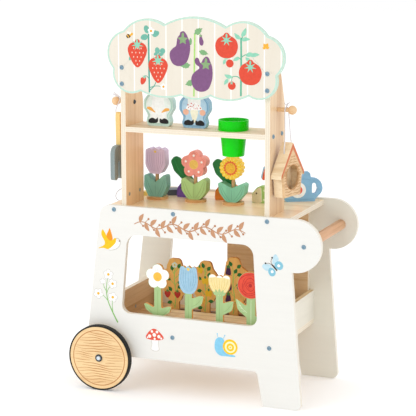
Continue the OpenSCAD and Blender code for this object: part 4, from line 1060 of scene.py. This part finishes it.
def shelf_toys():
    """The green pot and the two sacks."""
    g = Graph("pot_green", 0.22)
    fine = g.noise(60.0, 2.0)
    g.base(g.ramp(fine, [(0.3, rgb("#00D600")), (0.7, rgb("#00CC04"))]))
    g.rough_from(fine, 0.18, 0.3)
    g.bump(g.noise(900.0, 1.0), 0.00004, 0.3)
    g.set("Specular IOR Level", 0.2)
    give("green_pot", g.mat)
    soften("green_pot", 0.0006, 3)

    shelf_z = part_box("upper_shelf")[1].z
    half = [(24, 3), (28, 12), (25, 24), (33, 36), (36, 44), (35, 58), (28, 69), (20, 78), (24, 89),
        (10, 94.5)]
    whole = [(-x, z) for x, z in half[::-1]] + half
    inner = [(x * 0.86, 5 + z * 0.9) for x, z in whole]
    for n, x, light, colour, rim in (("mint_sack", -0.1095, "#E9F3EE", "#C9E2D8", "#A9CFC0"),
            ("blue_sack", -0.0185, "#B5D4E8", "#92BBD6", "#6F9FC0")):
        block(n, colour, "Z", 0.002)
        f = front(n, n, x, shelf_z)
        outer_rim = smooth([(px * 0.95, 2.5 + pz * 0.955) for px, pz in whole], 4)
        inner_rim = smooth([(px * 0.9, 4 + pz * 0.93) for px, pz in whole], 4)
        band(n + "_contour", f, outer_rim, inner_rim, rim, 0)
        motif(n + "_face", f, [smooth(inner)], light, 0)
    f = front("mint_sack", "mint_sack", -0.1095, shelf_z)
    pear = mirrored([(0, 84), (13, 74), (15, 56), (20, 36), (17, 20), (0, 14)])
    motif("mint_sack_pear", f, [smooth(pear)], "#F7FAF8")
    motif("mint_sack_bands", f, [stroke([(-29, 42), (-20, 40), (-8, 32)], 4.5, 8.0, 1.5),
        stroke([(28, 40), (19, 39), (8, 32)], 4.5, 8.0, 1.5)], "#F2B057", 2)
    feet = [smooth([(-24, 7), (-24, 15), (-15, 19), (-7, 16), (-2, 20), (-1, 12), (-6, 7)], 4),
        smooth([(24, 7), (24, 15), (15, 19), (9, 16), (4, 18), (3, 12), (6, 7)], 4)]
    motif("mint_sack_soil", f, feet, "#1E1E20", 2)
    f = front("blue_sack", "blue_sack", -0.0185, shelf_z)
    pear = mirrored([(0, 84), (14, 74), (16, 58), (13, 44), (0, 38)])
    motif("blue_sack_pear", f, [smooth(pear)], "#F3F4F1")
    motif("blue_sack_blobs", f, [disc(-21, 37, 7.5, 7), disc(21, 37, 7.5, 7)], "#F0B79C", 2)
    motif("blue_sack_cap", f, [smooth([(-20, 44), (-17, 52), (-8, 59), (0, 61), (9, 58), (17, 51), (19, 44),
        (0, 41)], 5)], "#FFFDFA", 2)
    specks = [disc(-14 + 5.6 * i + 2.8 * (k % 2) + 1.6 * math.sin(4.1 * i + 2.3 * k),
        46 + 4.8 * k + 1.9 * math.cos(2.7 * i + 1.7 * k), 1.25 + 0.35 * math.sin(5.3 * i + k), n=10)
        for k in range(3) for i in range(6 - k)]
    motif("blue_sack_specks", f, specks, "#CC3428", 3)
    motif("blue_sack_root", f, [smooth([(-9, 41), (9, 41), (8, 28), (2, 14), (-2, 14), (-7, 28)], 5)],
        "#F4F0D8", 3)
    motif("blue_sack_soil", f, feet, "#1E1E20", 4)


def counter_toys():
    """The watering can, the three beetles and the spade."""
    # watering can: its board turns 30 degrees
    a = math.radians(30)
    block("watering_can", "#86B6D6", "X", 0.0018, rough=0.38, depth=0.07)
    ux, back = (math.cos(a), math.sin(a), 0), Vector((-math.sin(a), math.cos(a), 0))
    origin = Vector((0.151, 0.067, COUNTER_Z))
    for side, s in (("front", 1), ("back", -1)):
        place = origin if s > 0 else origin + back * 0.014
        plane = Plane(place, (s * ux[0], s * ux[1], 0), body="can", slot="watering_can")
        motif("can_ring_" + side, plane, [disc(s * 32, 28, 19)], "#F4F4F0")
        motif("can_heart_" + side, plane, [disc(s * 32, 28, 10.5)], "#E2604A", 2)
        nose = [(-55.5, 59), (-49.5, 84), (-44.5, 81.5), (-50, 56)]
        motif("can_rose_" + side, plane, [smooth([(s * x, z) for x, z in nose], 6)], "#E8603C")
        motif("can_line_" + side, plane, [stroke([(s * 4, 6), (s * 34, 4), (s * 70, 7)], 0.7, 1.4, 0.7),
            stroke([(s * 20, 52), (s * 42, 55), (s * 62, 53)], 0.6, 1.2, 0.6)], "#6A9CC0", 0)
    # beetles
    head = smooth([(1, 2), (1, 18), (6, 28), (14, 35), (22, 37.5), (24, 20), (24, 2)], 5)
    for n, x, colour, spot, face in (("purple_beetle", -0.1155, "#8A62B8", "#B79BD8", "#7E58AE"),
            ("orange_beetle", -0.0155, "#EE7A2E", "#B9481C", "#F08A3A"),
            ("green_beetle", 0.08, "#A5CB72", "#DDEBC2", "#EDDDB8")):
        block(n, colour, "X", 0.002)
        lo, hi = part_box(n)
        for side, y, s in (("front", lo.y, 1), ("back", hi.y, -1)):
            f = Plane((x, y, lo.z), (s, 0, 0), body=n, slot=n)
            spots = [disc(s * px, pz, r, n=16) for px, pz, r in ((31, 31, 2.8), (42, 28, 3.2),
                (51, 19, 2.8), (36, 18, 3.2), (30, 8, 2.6), (46, 9, 2.6))]
            motif(n + "_head_" + side, f, [[(s * px, pz) for px, pz in head]], face, 0)
            motif(n + "_spots_" + side, f, spots, spot)
            motif(n + "_eye_" + side, f, [disc(s * 11, 23, 2.1, n=14)], "#4A2A24")
            motif(n + "_seam_" + side, f, [stroke([(s * 24, 3), (s * 24.5, 20), (s * 23, 36)], 1.0)], spot)
    # spade
    block("spade_blade", "#5A6068", "X", 0.002, rough=0.4, depth=0.08)
    block("spade_handle", "#F0CC74", "X", 0.0018, depth=0.08)


def hanging_toys():
    """The birdhouse and the fork, which hang on the pegs."""
    # birdhouse: front face looks along its own +X, turned -12 degrees
    t = HOUSE_TURN
    fwd = Vector((math.cos(t), math.sin(t), 0))
    across = Vector((-math.sin(t), math.cos(t), 0))
    give("birdhouse_front", wood("house_front_pine", "#E2BE90", "#BC8A54", "Y", 0.5, 1.0))
    give("birdhouse_case", wood("house_case_pine", "#F0DAB6", "#D9BA8C", "X", 0.5, 0.9))
    soften("birdhouse_front", 0.0006, 2)
    soften("birdhouse_case", 0.0008, 2)
    f = Plane(HOUSE_HOOK + fwd * 0.014, across, body="birdhouse", slot="birdhouse_front")
    # heights below the hook, in mm: the roof strip's top and underside at the ridge, and its eave
    drop, ridge, eave = -74.0, -88.0, -145.0
    half, under = 50.0, 9.0
    strip = [(-half + 0.6, eave), (0, drop - 0.8), (half - 0.6, eave), (half - 0.6, eave - under + 0.6),
        (0, ridge), (-half + 0.6, eave - under + 0.6)]
    motif("house_roof_front", f, [strip], "#D0764E")
    lines = []
    for i in range(15):
        z = -192 + 6.6 * i
        # half the front's width: the walls lean outwards, and above them the roof closes in
        w = 33 + (z + 198) / (198 - 142) * 7.5 if z < -142 else (-z - 92) * 50 / 66
        hole = 28.6 ** 2 - (z + 154) ** 2
        a = math.sqrt(hole) if hole > 0 else 0
        for s in (-1, 1):
            if w - a > 6:
                x0, x1 = s * (a + 1.2), s * (w - 2)
                wav = [(x0 + (x1 - x0) * k / 4, z + 0.9 * math.sin(k * 1.9 + i)) for k in range(5)]
                lines.append(stroke(wav, 0.5, 1.3, 0.5))
    motif("house_front_lines", f, lines, "#AE7640", 0)
    band("house_hole_rim", f, disc(0, -154, 29.6, n=40), disc(0, -154, 28.3, n=40), "#B98048")

    # fork
    block("fork_head", "#8E9C9C")
    block("fork_handle", "#F3D48C", width=0.0018, depth=0.08)


def frays(name, top, ends, radius, material, body):
    """Loose strands at a knot; each is a few points in mm from the knot."""
    for i, end in enumerate(ends):
        pts = [top + Vector(p) * MM for p in open_smooth(end, 4)]
        cord_mesh("%s_%d" % (name, i), pts, radius, material, body, 8)


def cord_loop(name, origin, ux, uy, route, material, body):
    """A cord along a route in mm, in place of the CAD cord of the same body."""
    line = [origin + (ux * x + uy * y) * MM + Vector((0, 0, z * MM)) for x, y, z in open_smooth(route, 4)]
    o = cord_mesh(name, line, CORD_R, material, body)
    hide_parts(body + "_cord")
    return o, line


def over_peg(x, y0, wide, high):
    """Half a turn of cord across the top of a peg."""
    turns = [math.radians(a) for a in range(180, -1, -30)]
    return [(x, y0 + wide * math.cos(a), high * math.sin(a)) for a in turns]


def cords():
    """Smooth twisted cords in place of the CAD ones."""
    white = twine("cord_cotton", "#E9E7EC")
    loop = 6.5
    # birdhouse loop: up from one roof hole, over the peg and down to the other
    t = HOUSE_TURN
    fwd = Vector((math.cos(t), math.sin(t), 0))
    across = Vector((-math.sin(t), math.cos(t), 0))
    up = [(0, -16, -103), (0, -16, -96), (0, -16, -89), (0, -15, -82), (0, -13, -68), (-1, -11, -50),
        (-2, -10, -32), (-3, -9, -16), (-4, -8, -2)]
    down = [(x, -y, z) for x, y, z in up[::-1]]
    arc_y = 4 * math.tan(t)
    route = up + over_peg(-4, arc_y, loop + 0.6, loop) + down
    cord_loop("birdhouse_loop", HOUSE_HOOK, fwd, across, route, white, "birdhouse")
    top = HOUSE_HOOK + fwd * -0.004 + across * (arc_y * MM) + Vector((0, 0, 0.0076))
    ends = [[(0, 0, 0), (1, 2, 3), (3, 4, 7), (6, 5, 9)], [(0, 0, 0), (-1, 3, 3), (0, 6, 6), (2, 9, 6)],
        [(0, 0, 0), (1, -2, 3), (-1, -4, 6), (-3, -6, 8)]]
    frays("birdhouse_fray", top, ends, 0.0010, white, "birdhouse")
    # fork loop
    left = [(-1, 0, -34), (-4, 0, -34), (-7, -1, -33), (-7, -3, -28), (-6, -5, -20), (-2, -7, -12),
        (3, -7, -2)]
    right = [(5, 7, -2), (6, 7, -12), (7, 5, -20), (8, 3, -28), (7, 1, -33), (4, 0, -34), (1, 0, -34)]
    route = left + over_peg(4, 0, loop, loop) + right
    cord_loop("fork_loop", FORK_HOOK, Vector((1, 0, 0)), Vector((0, 1, 0)), route, white, "fork")
    ends = [[(0, 0, 0), (-5, 1, 3), (-12, 2, 5), (-20, 2, 8)],
        [(0, 0, 0), (-4, -1, 4), (-10, -1, 8), (-17, 0, 12)], [(0, 0, 0), (3, 0, 3), (8, 1, 4), (13, 1, 3)]]
    frays("fork_fray", FORK_HOOK + Vector((0.004, 0, 0.0076)), ends, 0.0014, white, "fork")
    # spade loop: out of the handle's hole, over the counter's end and back to the handle
    s = math.radians(32)
    ux, uy = Vector((math.cos(s), math.sin(s), 0)), Vector((-math.sin(s), math.cos(s), 0))
    route = [(-28, 0, 5), (-28, 0, 11), (-32, 0, 17), (-40, 1, 20), (-50, 2, 19), (-60, 3, 15), (-67, 3, 8),
        (-70, 2, 0), (-68, 1, -7), (-61, 0, -12), (-52, 0, -13), (-44, 0, -11), (-41, 0, -6), (-40, 0, 1),
        (-38, 0, 4), (-35, 0, 4)]
    spade = Vector((-0.1995, 0.023, COUNTER_Z))
    o, line = cord_loop("spade_loop", spade, ux, uy, route, white, "spade")


# ---------------------------------------------------------------- stage and light

def stage():
    """White floor, white world and two lamps."""
    mesh = bpy.data.meshes.new("floor")
    s = 12.0
    mesh.from_pydata([(-s, -s, 0), (s, -s, 0), (s, s, 0), (-s, s, 0)], [], [(0, 1, 2, 3)])
    floor = bpy.data.objects.new("floor", mesh)
    floor.location.z = -0.0005
    bpy.context.scene.collection.objects.link(floor)
    g = Graph("floor_paper", 0.9)
    g.base((0.97, 0.97, 0.97, 1))
    g.set("Emission Color", (1, 1, 1, 1))
    g.set("Emission Strength", 0.15)
    g.set("Specular IOR Level", 0.0)
    mesh.materials.append(g.mat)

    world = bpy.data.worlds.new("studio")
    world.use_nodes = True
    world.node_tree.nodes["Background"].inputs["Color"].default_value = (1, 1, 1, 1)
    world.node_tree.nodes["Background"].inputs["Strength"].default_value = 1.0
    bpy.context.scene.world = world
    bpy.context.scene.view_settings.view_transform = "Standard"

    for name, place, size, power in (("key", (-1.8, -3.2, 2.6), 1.6, 22), ("rim", (2.6, 1.6, 2.2), 1.6, 8)):
        lamp = bpy.data.lights.new(name, "AREA")
        lamp.shape = "SQUARE"
        lamp.size = size
        lamp.energy = power
        o = bpy.data.objects.new(name, lamp)
        o.location = place
        o.rotation_mode = "QUATERNION"
        o.rotation_quaternion = (Vector((0, 0, 0.45)) - Vector(place)).to_track_quat("-Z", "Y")
        bpy.context.scene.collection.objects.link(o)


make_camera()
cords()
dress_frame()
sign_board()
panel_prints()
wheels()
planter_flowers()
trees()
counter_flowers()
shelf_toys()
counter_toys()
hanging_toys()
stage()
